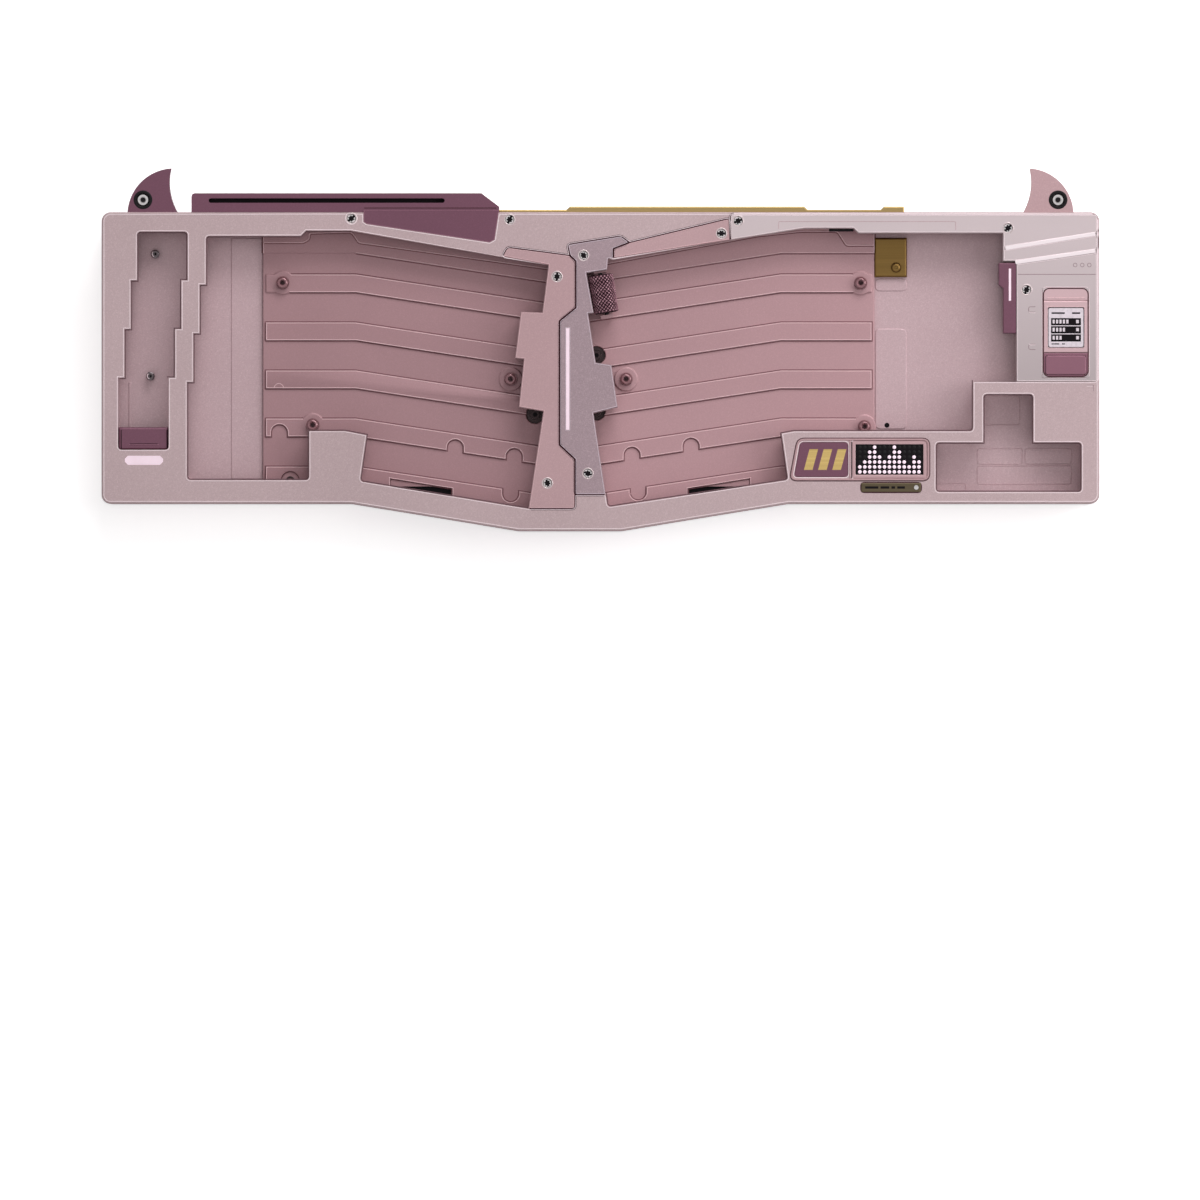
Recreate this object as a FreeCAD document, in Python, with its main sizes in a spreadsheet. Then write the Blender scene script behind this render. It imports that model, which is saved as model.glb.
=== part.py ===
"""Angled ergonomic keyboard case kit: parametric model, millimetres.

Two sets of axes are used. The deck axes lie in the top face of the case: X to the right, Y to the
rear, Z up out of the deck. They are tilted about X by the typing angle. The ground axes are level,
with Z = 0 on the table, and serve everything on the flat underside.
"""
import FreeCAD, Part
import math
import os
from types import SimpleNamespace

import Sketcher

V = FreeCAD.Vector
doc = FreeCAD.newDocument("AngledKeyboard")
sheet = doc.addObject("Spreadsheet::Sheet", "Sizes")

SIZES = [
    # Whole case
    ("case_width", 394.5, "case over its side walls"),
    ("rear_edge", 54.5, "rear edge of the deck behind the deck's zero line"),
    ("front_edge", 60.8, "front edge of the deck before the zero line"),
    ("split_line", 12.1, "centre line between the key blocks, left of the middle"),
    ("vee_half", 86.5, "half width of the front V where it starts"),
    ("vee_flat_half", 20.35, "half width of the flat at the V's tip"),
    ("vee_depth", 10.8, "how far the V stands before the front edge"),
    ("corner_radius", 3.6, "case corners seen from above"),
    ("deck_chamfer", 0.6, "bright edge round the deck"),
    ("panel_chamfer", 0.25, "edge of an inlaid panel"),
    ("tilt_angle", 6.0, "typing angle in degrees"),
    ("deck_height", 26.0, "height of the deck's zero line over the table"),
    ("underside_shift", 1.9, "underside drawing's zero line behind the deck's"),
    ("foot_stand", 1.6, "underside over the table"),
    ("rear_rise", 5.0, "underside at the rear edge over the flat underside"),
    ("rise_start", 37.9, "where the underside starts to rise"),
    ("rise_end", 48.6, "where the rise ends"),
    # Walls
    ("bezel_thickness", 8.5, "top case plate"),
    ("skirt_wall", 1.3, "skirt of the top case"),
    ("case_gap", 0.25, "gap between the skirt and the bottom case"),
    ("tray_side_wall", 4.3, "side wall of the bottom case"),
    ("tray_rear_wall", 4.3, "rear wall of the bottom case"),
    ("tray_front_wall", 2.6, "front wall of the bottom case"),
    ("tray_depth", 14.0, "tray floor under the deck"),
    ("fit_gap", 0.15, "gap round a piece that moves"),
    # Key openings
    ("row_pitch", 19.25, "one key row"),
    ("row_stagger", 2.5, "shift from row to row of the straight keys"),
    ("left_rim", 6.55, "deck between the left edge and the column opening"),
    ("column_width", 20.0, "column opening"),
    ("column_rib", 7.2, "deck between column and left block"),
    ("column_rear", 46.8, "rear end of the column opening"),
    ("column_last_row", 28.45, "length of the column's last row"),
    ("block_rear", 45.1, "rear end of the left block"),
    ("block_front", 51.4, "front end of the left block"),
    ("right_rim", 32.85, "deck right of the right block"),
    ("right_block_front", 12.6, "front end of the right block's wide part"),
    ("bay_front", 32.1, "front end of the right block's narrow part"),
    ("bay_right", 147.3, "right edge of the narrow part"),
    ("arrow_left", 132.5, "left edge of the arrow opening"),
    ("arrow_right", 190.2, "right edge of the arrow opening"),
    ("arrow_front", 56.1, "front edge of the arrow opening"),
    ("arrow_row_rear", 36.5, "rear edge of its lower row"),
    ("arrow_up_left", 151.3, "left edge of the up key"),
    ("arrow_up_right", 171.1, "right edge of the up key"),
    ("arrow_up_rear", 17.4, "rear edge of the up key"),
    # Deck panels
    ("panel_thickness", 3.0, "centre panels and wedge"),
    ("mauve_panel_front", 57.2, "front edge of the mauve centre panel"),
    ("side_panel_thickness", 1.6, "glossy right panel"),
    ("side_panel_border", 0.9, "case edge left beside the right panel"),
    ("side_panel_left", 51.3, "left edge of the right panel"),
    # Screws
    ("screw_shank", 0.8, "radius of a small screw's shank"),
    ("screw_head", 1.75, "radius of its head"),
    ("screw_head_height", 1.1, "height of its head"),
    ("screw_length", 6.5, "length under the head"),
    ("screw_socket", 0.85, "half width of the hex socket"),
    ("screw_sink", 0.25, "head under the face round it"),
    ("screw_gap", 0.05, "hole round a shank"),
    ("counterbore_gap", 0.25, "counterbore round the head"),
    # Key beds
    ("bed_thickness", 2.0, "key bed plate"),
    ("bed_rib", 0.8, "height of the ribs on it"),
    ("rib_width", 7.0, "width of a rib"),
    ("rib_inset", 1.2, "ribs end inside the bed's outer edge"),
    ("rib_pitch", 19.05, "one key unit"),
    ("rib_rear", 30.2, "rear edge of the first rib"),
    ("alice_angle", 8.6, "turn of the inner ribs in degrees"),
    ("bed_split", 1.4, "half gap between the beds"),
    ("bed_rear", 48.2, "rear edge of the beds"),
    ("bed_step", 8.5, "step behind the first rib"),
    ("notch_width", 6.8, "round notch in a rib"),
    ("notch_length", 9.6, ""),
    ("bed_front_gap", 0.6, "bed to the front wall"),
    ("left_bed_left", 133.8, "left edge of the left bed"),
    ("left_bend", 97.0, "where its ribs bend"),
    ("right_bed_right", 108.6, "right edge of the right bed"),
    ("right_bend", 71.5, "where its ribs bend"),
    ("standoff_radius", 2.4, "standoff"),
    ("standoff_height", 3.2, "standoff over the bed"),
    ("standoff_bore", 0.8, "thread of the standoff"),
    ("boss_radius", 4.6, "boss round a standoff"),
    ("recess_radius", 3.6, "recess round a bed screw"),
    ("bed_screw_length", 1.8, "bed screw under the bed"),
    # Rear pieces
    ("bumper_left", 122.0, "left end of the brass bumper"),
    ("bumper_right", 120.4, "right end"),
    ("bumper_front", 36.0, "front edge on the underside"),
    ("bumper_corner", 12.5, "front corners"),
    ("bumper_leg_end", 7.4, "leg behind its bevel"),
    ("bumper_bevel_start", 45.0, "start of its bevel"),
    ("bumper_bevel_end", 48.5, "end of its bevel"),
    ("bumper_bevel_rise", 3.2, "height of its bevel"),
    ("bumper_proud", 2.7, "rear flange behind the case"),
    ("bumper_notch", 1.3, "depth of the notches in its edge"),
    ("bumper_port_left", 14.7, "left of the port to the notch's end"),
    ("bumper_port_right", 16.9, "right of the port to the notch's end"),
    ("groove_inset", 4.5, "groove behind the bumper's front edge"),
    ("groove_length", 78.5, ""),
    ("groove_width", 2.6, ""),
    ("groove_depth", 0.7, ""),
    ("bumper_top", 12.0, "top of the flange under the deck"),
    ("bar_left", 161.7, "left end of the plum rear bar"),
    ("bar_right", 40.1, "right end"),
    ("bar_rear", 62.0, "rear edge"),
    ("bar_height", 8.6, "thickness of the bar"),
    ("bar_drop", 0.4, "its top under the deck"),
    ("bar_end_step", 2.2, "square part of its right end"),
    ("bar_end_slant", 7.0, "slant of its right end"),
    ("bar_corner", 1.4, "its rear left corner"),
    ("bar_slot_left", 154.9, "slot in the bar"),
    ("bar_slot_right", 61.6, ""),
    ("bar_slot_rear", 60.0, ""),
    ("bar_slot_front", 58.2, ""),
    ("felt_drop", 1.6, "felt under the bar's top"),
    ("felt_lift", 0.3, "felt over the bar's lower face"),
    ("horn_outer", 187.0, "horn base, outer end"),
    ("horn_inner", 167.3, "horn base, inner end"),
    ("horn_tip_across", 169.6, "horn tip from the middle"),
    ("horn_tip_along", 71.8, "horn tip from the zero line"),
    ("horn_outer_centre", 53.4, "centre of the outer arc from the zero line"),
    ("horn_inner_centre", 148.0, "centre of the inner arc from the middle"),
    ("horn_drop", 0.8, "horn top under the deck"),
    ("horn_height", 9.0, "thickness at the base"),
    ("horn_tip_height", 1.6, "thickness at the tip"),
    ("horn_tongue_width", 12.0, "tongue that plugs into the case"),
    ("horn_tongue_length", 3.2, ""),
    ("horn_tongue_height", 2.6, ""),
    ("horn_tongue_drop", 4.0, "tongue under the deck"),
    ("horn_screw_across", 180.9, "horn screw"),
    ("horn_screw_along", 59.4, ""),
    ("horn_screw_head", 2.4, "radius of its head"),
    ("horn_counterbore", 3.0, "radius of its counterbore"),
    ("horn_counterbore_depth", 2.6, ""),
    ("horn_screw_shank", 1.25, "radius of its shank"),
    ("horn_screw_length", 4.0, ""),
    # Underside
    ("cover_half", 190.7, "half width of the pink cover"),
    ("cover_front", 13.4, "front edge of the cover"),
    ("cover_thickness", 3.0, "cover plate"),
    ("weight_half", 177.2, "half length of the weight plate"),
    ("weight_rear", 14.7, "rear edge of the weight"),
    ("weight_front", 22.3, "front edge of the weight"),
    ("weight_radius", 3.5, "its corners"),
    ("weight_thickness", 3.5, "weight plate"),
    ("step_front", 32.7, "front edge of the shallow step"),
    ("step_depth", 0.4, "depth of the step"),
    ("ribbon_depth", 0.5, "grooves in the right panel"),
    ("inlay_thickness", 1.0, "inlay in the weight"),
    ("inlay_proud", 0.25, "inlay under the weight's face"),
    ("inlay_pitch", 15.5, "slanted inlay bars"),
    ("inlay_bar", 10.5, "length of one bar"),
    ("inlay_slant", 6.0, "slant of the bars"),
    ("inlay_right", 96.0, "first bar"),
    ("inlay_rear", 7.5, "rear end of the bars"),
    ("inlay_front", 15.1, "front end of the bars"),
    ("inlay_count", 3, "number of bars"),
    ("foot_across", 169.8, "foot centre from the middle"),
    ("foot_rear", 26.6, "rear feet"),
    ("foot_front", 51.3, "front feet"),
    ("foot_length", 30.2, "foot"),
    ("foot_width", 6.3, ""),
    ("foot_seat", 1.0, "depth of its seat"),
    ("latch_across", 140.0, "latch centre from the middle"),
    ("latch_along", 12.0, "latch centre from the zero line"),
    ("latch_width", 13.2, "latch slider's flange"),
    ("latch_length", 22.8, ""),
    ("latch_flange", 0.9, "flange thickness"),
    ("latch_lift", 0.05, "running gap over the underside"),
    ("latch_pad_width", 8.0, "thumb recess"),
    ("latch_pad_length", 18.4, ""),
    ("latch_pad_depth", 0.4, ""),
    ("latch_stem_width", 6.0, "stem through the slot"),
    ("latch_stem_length", 11.0, ""),
    ("latch_travel", 3.0, "release travel"),
    ("latch_slot_depth", 3.6, "thickness that the stem passes"),
    ("carrier_width", 12.0, "carrier above the plates"),
    ("carrier_length", 16.0, ""),
    ("carrier_height", 1.8, ""),
    ("bolt_width", 4.0, "bolt at the carrier's rear end"),
    ("bolt_length", 4.4, ""),
    ("bolt_root", 1.0, "bolt inside the carrier"),
    ("bolt_reach", 1.8, "bolt inside its keeper"),
    ("latch_cavity_height", 4.0, "cavity for the carrier"),
    ("keeper_width", 8.0, "keeper that the bolt enters"),
    ("keeper_length", 3.0, ""),
    ("keeper_height", 3.6, ""),
    ("lip_top", 10.0, "top of the front lip under the deck"),
    ("lip_strip", 2.4, "depth of its upright strip"),
    ("lip_foot", 1.2, "thickness of its foot under the case"),
    ("lip_slot_depth", 3.4, "scoop in the lip"),
    # Right edge devices
    ("module_left", 174.7, "display module"),
    ("module_right", 193.1, ""),
    ("module_rear", 24.7, ""),
    ("module_front", 10.9, ""),
    ("module_radius", 1.4, ""),
    ("module_seat", 6.0, "depth of its seat"),
    ("module_proud", 0.3, "frame over the deck"),
    ("module_frame", 3.2, "frame thickness"),
    ("screen_left", 176.8, "screen"),
    ("screen_right", 191.2, ""),
    ("screen_rear", 16.9, ""),
    ("screen_front", 0.9, ""),
    ("glass_thickness", 0.8, "display glass"),
    ("glass_sink", 0.3, "glass under the frame's top"),
    ("cap_line_front", 19.2, "line across the frame's rear part"),
    ("cap_line_rear", 19.7, ""),
    ("cap_line_depth", 0.4, ""),
    ("stilt_inset", 0.4, "stilts inside the module's sides"),
    ("rear_stilt_gap", 1.0, "rear stilt behind the screen"),
    ("rear_stilt", 3.0, "its width"),
    ("front_stilt_gap", 0.3, "front stilt behind the button"),
    ("front_stilt", 1.0, "its width"),
    ("board_thickness", 1.2, "circuit boards"),
    ("button_rear", 2.0, "display button, rear edge"),
    ("button_front", 9.9, "front edge"),
    ("button_proud", 0.7, "button over the deck"),
    ("button_height", 2.6, "button thickness"),
    ("button_margin", 1.0, "frame beside the button"),
    ("button_travel", 0.8, "button travel"),
    ("button_radius", 1.2, "corners of its hole"),
    ("button_stem", 1.5, "radius of its stem"),
    ("button_switch", 1.7, "radius of the switch under it"),
    ("button_switch_height", 0.6, ""),
    ("button_slack", 0.1, "stem over the switch when pressed"),
    ("matrix_left", 99.3, "dot matrix window"),
    ("matrix_right", 129.1, ""),
    ("matrix_rear", 35.8, ""),
    ("matrix_front", 50.8, ""),
    ("matrix_frame_width", 1.5, "frame of the window"),
    ("matrix_frame_height", 1.6, ""),
    ("matrix_lens_height", 1.0, "lens in the frame"),
    ("matrix_lens_sink", 0.4, "its top under the deck"),
    ("matrix_seat", 4.6, "depth of its seat"),
    ("dot_pitch", 1.95, "dot pitch"),
    ("dot_radius", 0.68, "light dot"),
    ("dot_height", 0.7, ""),
    ("dot_gap", 0.2, "dots under the frame"),
    ("dot_columns", 13, "dots across"),
    ("dot_rows", 6, "dots along"),
    ("badge_depth", 1.4, "badge plate"),
    ("badge_inlay", 0.5, "bars in the badge"),
    ("badge_bar_left", 80.4, "first bar"),
    ("badge_bar_pitch", 5.6, ""),
    ("badge_bar_width", 3.4, ""),
    ("badge_bar_slant", 2.2, ""),
    ("badge_bar_front", 47.4, ""),
    ("badge_bar_rear", 39.2, ""),
    ("tag_left", 103.0, "bronze tag"),
    ("tag_right", 126.7, ""),
    ("tag_rear", 52.5, ""),
    ("tag_front", 56.2, ""),
    ("tag_thickness", 0.9, ""),
    ("tag_seat", 0.6, "depth of its seat"),
    ("rivet_head", 0.45, "height of the rivet's head"),
    ("rivet_reach", 1.2, "rivet under the tag"),
    ("rivet_inset", 1.9, "rivet from the tag's right end"),
    ("rivet_radius", 0.9, ""),
    # Light guides
    ("guide_width", 1.3, "centre light guide"),
    ("guide_left", 13.6, "its left edge"),
    ("guide_rear", 8.6, ""),
    ("guide_front", 31.5, ""),
    ("pill_left", 188.0, "pill light"),
    ("pill_right", 172.9, ""),
    ("pill_rear", 41.8, ""),
    ("pill_front", 45.4, ""),
    ("pill_chamfer", 1.2, ""),
    ("strip_thickness", 1.4, "light strip under a guide"),
    ("strip_margin", 0.9, "light strip beside its guide"),
    ("side_bar_left", 157.4, "plum side bar"),
    ("side_bar_step", 159.2, ""),
    ("side_bar_rear", 34.4, ""),
    ("side_bar_middle", 25.8, ""),
    ("side_bar_front", 6.6, ""),
    ("side_bar_slant", 1.4, "slant of its step"),
    ("side_bar_drop", 0.3, "its top under the deck"),
    ("side_guide_left", 161.4, "light line in the side bar"),
    ("side_guide_rear", 32.2, ""),
    ("side_guide_front", 19.5, ""),
    ("side_guide_width", 0.9, ""),
    # Column
    ("column_button_length", 8.9, "plum button in the column"),
    ("column_button_drop", 1.2, "its top under the deck"),
    ("column_button_height", 5.6, ""),
    ("column_button_travel", 1.5, ""),
    ("column_button_chamfer", 0.5, ""),
    ("column_line_inset", 4.5, "line in its top, from its ends"),
    ("column_line_front", 1.8, "line behind its front edge"),
    ("column_line_width", 0.6, ""),
    ("column_line_depth", 0.4, ""),
    ("switch_width", 7.0, "switch under the column button"),
    ("switch_length", 5.6, ""),
    ("switch_height", 3.2, ""),
    ("plunger_radius", 1.3, ""),
    ("plunger_gap", 0.3, "plunger under the pressed button"),
    ("spring_radius", 2.0, "spring round the plunger"),
    ("spring_wire", 0.25, "radius of its wire"),
    ("spring_turns", 3, "turns"),
    ("post_radius", 1.7, "column posts"),
    ("post_height", 3.4, ""),
    # Roller
    ("roller_across", 1.2, "roller centre right of the middle"),
    ("roller_along", 22.3, "roller centre behind the zero line"),
    ("roller_radius", 4.9, ""),
    ("roller_length", 15.8, ""),
    ("roller_drop", 4.5, "its axis under the deck"),
    ("roller_teeth", 22, "knurl ridges"),
    ("roller_knurl", 0.45, "depth of the knurl"),
    ("roller_bore", 0.85, ""),
    ("axle_radius", 0.8, ""),
    ("axle_length", 19.6, ""),
    ("roller_turn", 9.0, "turn of its axis in degrees"),
    ("roller_slot_gap", 0.5, "gap round the roller"),
    ("bracket_width", 5.0, "bracket that holds the axle"),
    ("bracket_thickness", 1.4, ""),
    # Port
    ("port_across", 95.5, "port from the middle"),
    ("port_height", 11.8, "centre of the port over the table"),
    ("port_width", 8.9, ""),
    ("port_tall", 3.2, ""),
    ("port_tail", 4.4, "port on its board"),
    ("port_wall", 0.35, "shell of the port"),
    ("port_back", 1.2, "its back wall"),
    ("port_sink", 0.4, "its mouth inside the rear face"),
    ("port_tongue_width", 6.4, "contact tongue"),
    ("port_tongue_height", 0.7, ""),
    ("port_tongue_sink", 0.8, "tongue inside the mouth"),
    ("port_board_width", 18.0, "board under the port"),
    ("port_board_length", 13.0, ""),
    ("port_clearance", 0.4, "hole round the port"),
    ("tab_left", 108.6, "brass corner tab"),
    ("tab_right", 121.5, ""),
    ("tab_front", 29.2, ""),
    ("tab_rear", 44.8, ""),
    ("tab_thickness", 2.6, ""),
    ("tab_chamfer", 0.6, ""),
]

# Corners of the irregular outlines, deck axes, X then Y.
OUTLINES = {
    "left_inner": [(-20.6, 33.6), (-23.0, 14.8), (-31.5, 15.1), (-33.8, -3.2), (-30.3, -3.6),
                   (-32.3, -22.6), (-22.6, -24.2), (-28.5, -62.7)],
    "left_front": [(-95.1, -51.9), (-92.5, -33.6), (-101.0, -32.0), (-115.2, -32.0), (-115.2, -51.4)],
    "left_rear": [(-118.5, 45.1), (-116.4, 47.2), (-98.6, 47.2)],
    "right_rear": [(3.0, 35.9), (80.4, 48.1), (100.0, 48.1), (102.0, 46.2), (159.1, 46.2), (159.1, 35.1)],
    "right_front": [(76.6, -32.1), (71.6, -33.0), (74.2, -51.3), (2.8, -62.1)],
    "right_inner": [(-2.8, -25.0), (6.8, -22.6), (4.3, -5.9), (-1.9, -5.0), (-4.9, 14.4), (-2.7, 14.6)],
    "roller_notch": [(-5.6, 30.4), (2.6, 31.7)],
    "left_panel": [(-38.8, 37.0), (-36.7, 40.6), (-12.1, 37.4), (-9.8, 35.1), (-9.8, 16.7), (-16.2, 11.5),
                   (-16.2, -37.5), (-10.1, -43.2), (-10.1, -62.7)],
    "right_panel": [(-13.1, 41.7), (8.0, 45.1), (11.5, 42.5), (5.1, 40.0), (5.1, 36.3)],
    "wedge": [(5.1, 40.0), (11.5, 42.5), (50.9, 52.0), (51.3, 43.5), (5.1, 36.3)],
    "bar_wedge": [(-93.7, 55.4), (-93.7, 50.7), (-92.4, 49.8), (-43.8, 42.5), (-41.9, 43.6), (-40.1, 55.4)],
    "lip": [(-99.6, -57.3), (-87.3, -57.3), (-63.2, -60.0), (-27.6, -70.0), (3.0, -70.0), (39.6, -60.0),
            (62.1, -57.3), (73.8, -57.3)],
    "lip_scoop": [(61.0, -60.4), (50.0, -60.8), (39.6, -62.7), (24.0, -67.2), (24.0, -74.0), (61.0, -70.0)],
    "badge": [(78.9, -36.4), (97.9, -36.4), (97.9, -50.2), (76.4, -50.2)],
    "groove_rear": [(159.6, 39.4), (196.35, 45.2), (196.35, 46.5), (159.6, 40.9)],
    "groove_front": [(163.7, 33.7), (196.35, 38.4), (196.35, 39.9), (163.7, 35.3)],
    "vent": [(-83.5, -50.6), (-58.7, -54.6), (-58.7, -59.6), (-83.5, -55.6)],
}

# Screw, standoff and recess centres, deck axes, X then Y.
CENTRES = {
    "deck_screw": [(-98.5, 52.0), (-35.9, 51.6), (-17.2, 29.0), (-21.0, -52.6), (-6.7, 37.4), (-5.0, -48.8),
                   (47.8, 46.1), (54.4, 51.0), (161.1, 48.2), (168.4, 23.8)],
    "corner_screw": [(-193.7, 49.6), (193.7, 49.6), (-193.7, -55.4), (193.7, -55.4)],
    "cover_screw": [(-163.9, 18.7), (163.9, 18.7), (-186.8, -9.9), (186.8, -9.9)],
    "left_standoff": [(-126.0, 26.9), (-114.1, -29.5), (-35.6, -11.3)],
    "right_standoff": [(103.1, 26.8), (104.6, -30.1), (10.1, -11.3)],
    "left_recess": [(-25.9, -25.3), (-123.0, -51.5)],
    "right_recess": [(-1.6, -1.8), (-1.6, -24.0)],
    "left_notch": [(-127.3, -33.9), (-57.6, -39.9), (-34.2, -43.4), (-35.6, -55.3)],
    "right_notch": [(12.5, -42.9), (35.9, -39.3), (14.9, -54.6)],
    "column_post": [(-176.5, 38.3), (-178.4, -10.1)],
}

OVER = 5  # how far a cutter runs past the faces that it opens


def number(size):
    """Value of a size or of a plain number."""
    return size.value if isinstance(size, Size) else size


def words(size):
    """Sheet expression of a size or of a plain number."""
    return size.text if isinstance(size, Size) else repr(size)


class Size:
    """A number together with the sheet expression that it comes from."""

    def __init__(self, value, text):
        self.value = value
        self.text = text

    def __add__(self, other):
        return Size(self.value + number(other), f"({self.text} + {words(other)})")

    def __radd__(self, other):
        return Size(number(other) + self.value, f"({words(other)} + {self.text})")

    def __sub__(self, other):
        return Size(self.value - number(other), f"({self.text} - {words(other)})")

    def __rsub__(self, other):
        return Size(number(other) - self.value, f"({words(other)} - {self.text})")

    def __mul__(self, other):
        return Size(self.value * number(other), f"({self.text} * {words(other)})")

    __rmul__ = __mul__

    def __truediv__(self, other):
        return Size(self.value / number(other), f"({self.text} / {words(other)})")

    def __neg__(self):
        return Size(-self.value, f"(0 - {self.text})")


def sine(angle):
    return Size(math.sin(math.radians(angle.value)), f"sin({angle.text})")


def cosine(angle):
    return Size(math.cos(math.radians(angle.value)), f"cos({angle.text})")


def tangent(angle):
    return sine(angle) / cosine(angle)


def fill_sheet():
    """Write every driving dimension to the sheet and return them as sizes."""
    rows = list(SIZES)
    for table, note in ((OUTLINES, "outline corner"), (CENTRES, "centre")):
        for name, points in table.items():
            for index, (across, along) in enumerate(points, 1):
                rows.append((f"{name}_across_{index}", across, note))
                rows.append((f"{name}_along_{index}", along, note))
    sizes = {}
    for row, (alias, value, note) in enumerate(rows, 1):
        sheet.set(f"A{row}", alias)
        sheet.set(f"B{row}", str(value))
        sheet.set(f"C{row}", note)
        sheet.setAlias(f"B{row}", alias)
        sizes[alias] = Size(value, f"Sizes.{alias}")
    doc.recompute()
    return sizes


sizes = fill_sheet()
S = SimpleNamespace(**sizes)


def points_of(name, table):
    """Corners of a named outline or centres of a named group, as sizes."""
    count = len(table[name])
    return [(sizes[f"{name}_across_{i}"], sizes[f"{name}_along_{i}"]) for i in range(1, count + 1)]


def outline(name):
    return points_of(name, OUTLINES)


def centres(name):
    return points_of(name, CENTRES)


half = S.case_width / 2
tilt_sine = sine(S.tilt_angle)
tilt_cosine = cosine(S.tilt_angle)


def from_ground(along, height):
    """Deck axes (Y, Z) of a point given in ground axes."""
    level = along + S.underside_shift
    drop = height - S.deck_height
    return level * tilt_cosine + drop * tilt_sine, drop * tilt_cosine - level * tilt_sine


def deck_back(along, height):
    """Ground Y of the point at this deck Y that lies at this height over the table."""
    return (along - (height - S.deck_height) * tilt_sine) / tilt_cosine - S.underside_shift


# The row's zero point is the middle of the whole outline, so the deck's zero line stands off it.
front_reach = (S.front_edge + S.vee_depth) * tilt_cosine - S.deck_chamfer * tilt_sine
rear_reach = S.horn_tip_along * tilt_cosine + (S.horn_drop + S.horn_tip_height) * tilt_sine
row_shift = (front_reach - rear_reach) / 2

# The port's board rests on the bumper's lower leg.
port_floor = S.port_height - S.port_tall / 2 - S.board_thickness
leg_height = port_floor - S.foot_stand
screw_reach = S.screw_sink + S.screw_head_height + S.screw_length
bodies = []


def bind(obj, path, size):
    """Bind a property to the sheet, or set it where the size is a plain number."""
    obj.setExpression(path, words(size))


def place(obj, ground):
    """Put a sub-part in the row's frame: tilted with the deck, or level."""
    if ground:
        obj.Placement = FreeCAD.Placement()
        bind(obj, ".Placement.Base.y", row_shift + S.underside_shift)
        return
    obj.Placement = FreeCAD.Placement(V(0, 0, 0), FreeCAD.Rotation(V(1, 0, 0), 1))
    bind(obj, ".Placement.Base.y", row_shift)
    bind(obj, ".Placement.Base.z", S.deck_height)
    bind(obj, ".Placement.Rotation.Angle", S.tilt_angle)


def new_body(label, ground=False):
    """A sub-part as its own body. Its label is its node's name."""
    body = doc.addObject("PartDesign::Body", label)
    body.Label = label
    body.AllowCompound = True
    place(body, ground)
    bodies.append(body)
    return body


def origin_plane(body, role):
    return next(item for item in body.Origin.OriginFeatures if item.Role == role)


def arc_shape(start, end, centre, turn):
    """Arc from start to end about centre, counter-clockwise where turn is 1."""
    first, last = (start, end) if turn > 0 else (end, start)
    radius = math.dist(first, centre)
    begin = math.atan2(first[1] - centre[1], first[0] - centre[0])
    finish = math.atan2(last[1] - centre[1], last[0] - centre[0])
    if finish <= begin:
        finish += 2 * math.pi
    circle = Part.Circle(V(centre[0], centre[1], 0), V(0, 0, 1), radius)
    return Part.ArcOfCircle(circle, begin, finish)


def fix_point(sk, geometry, position, across, along):
    """Tie one point of a sketch to the sheet."""
    for kind, size in (("DistanceX", across), ("DistanceY", along)):
        index = sk.addConstraint(Sketcher.Constraint(kind, -1, 1, geometry, position, number(size)))
        bind(sk, f"Constraints[{index}]", size)


def draw_circle(sk, across, along, radius):
    circle = Part.Circle(V(number(across), number(along), 0), V(0, 0, 1), number(radius))
    geometry = sk.addGeometry(circle, False)
    fix_point(sk, geometry, 3, across, along)
    index = sk.addConstraint(Sketcher.Constraint("Radius", geometry, number(radius)))
    bind(sk, f"Constraints[{index}]", radius)


def draw_loop(sk, loop):
    """Closed loop of corners (x, y), or (x, y, centre, turn) where an arc leaves the corner."""
    ends = []
    count = len(loop)
    for i, corner in enumerate(loop):
        start = (number(corner[0]), number(corner[1]))
        following = loop[(i + 1) % count]
        end = (number(following[0]), number(following[1]))
        if len(corner) == 2:
            geometry = sk.addGeometry(Part.LineSegment(V(*start, 0), V(*end, 0)), False)
            ends.append((geometry, 1, 2))
            continue
        centre, turn = corner[2], corner[3]
        shape = arc_shape(start, end, (number(centre[0]), number(centre[1])), turn)
        geometry = sk.addGeometry(shape, False)
        ends.append((geometry, 1, 2) if turn > 0 else (geometry, 2, 1))
        upright = abs(end[1] - start[1]) > abs(end[0] - start[0])
        kind, size = ("DistanceX", centre[0]) if upright else ("DistanceY", centre[1])
        index = sk.addConstraint(Sketcher.Constraint(kind, -1, 1, geometry, 3, number(size)))
        bind(sk, f"Constraints[{index}]", size)
    for i, corner in enumerate(loop):
        geometry, start, end = ends[i]
        after, after_start, _ = ends[(i + 1) % count]
        sk.addConstraint(Sketcher.Constraint("Coincident", geometry, end, after, after_start))
        fix_point(sk, geometry, start, corner[0], corner[1])


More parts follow.
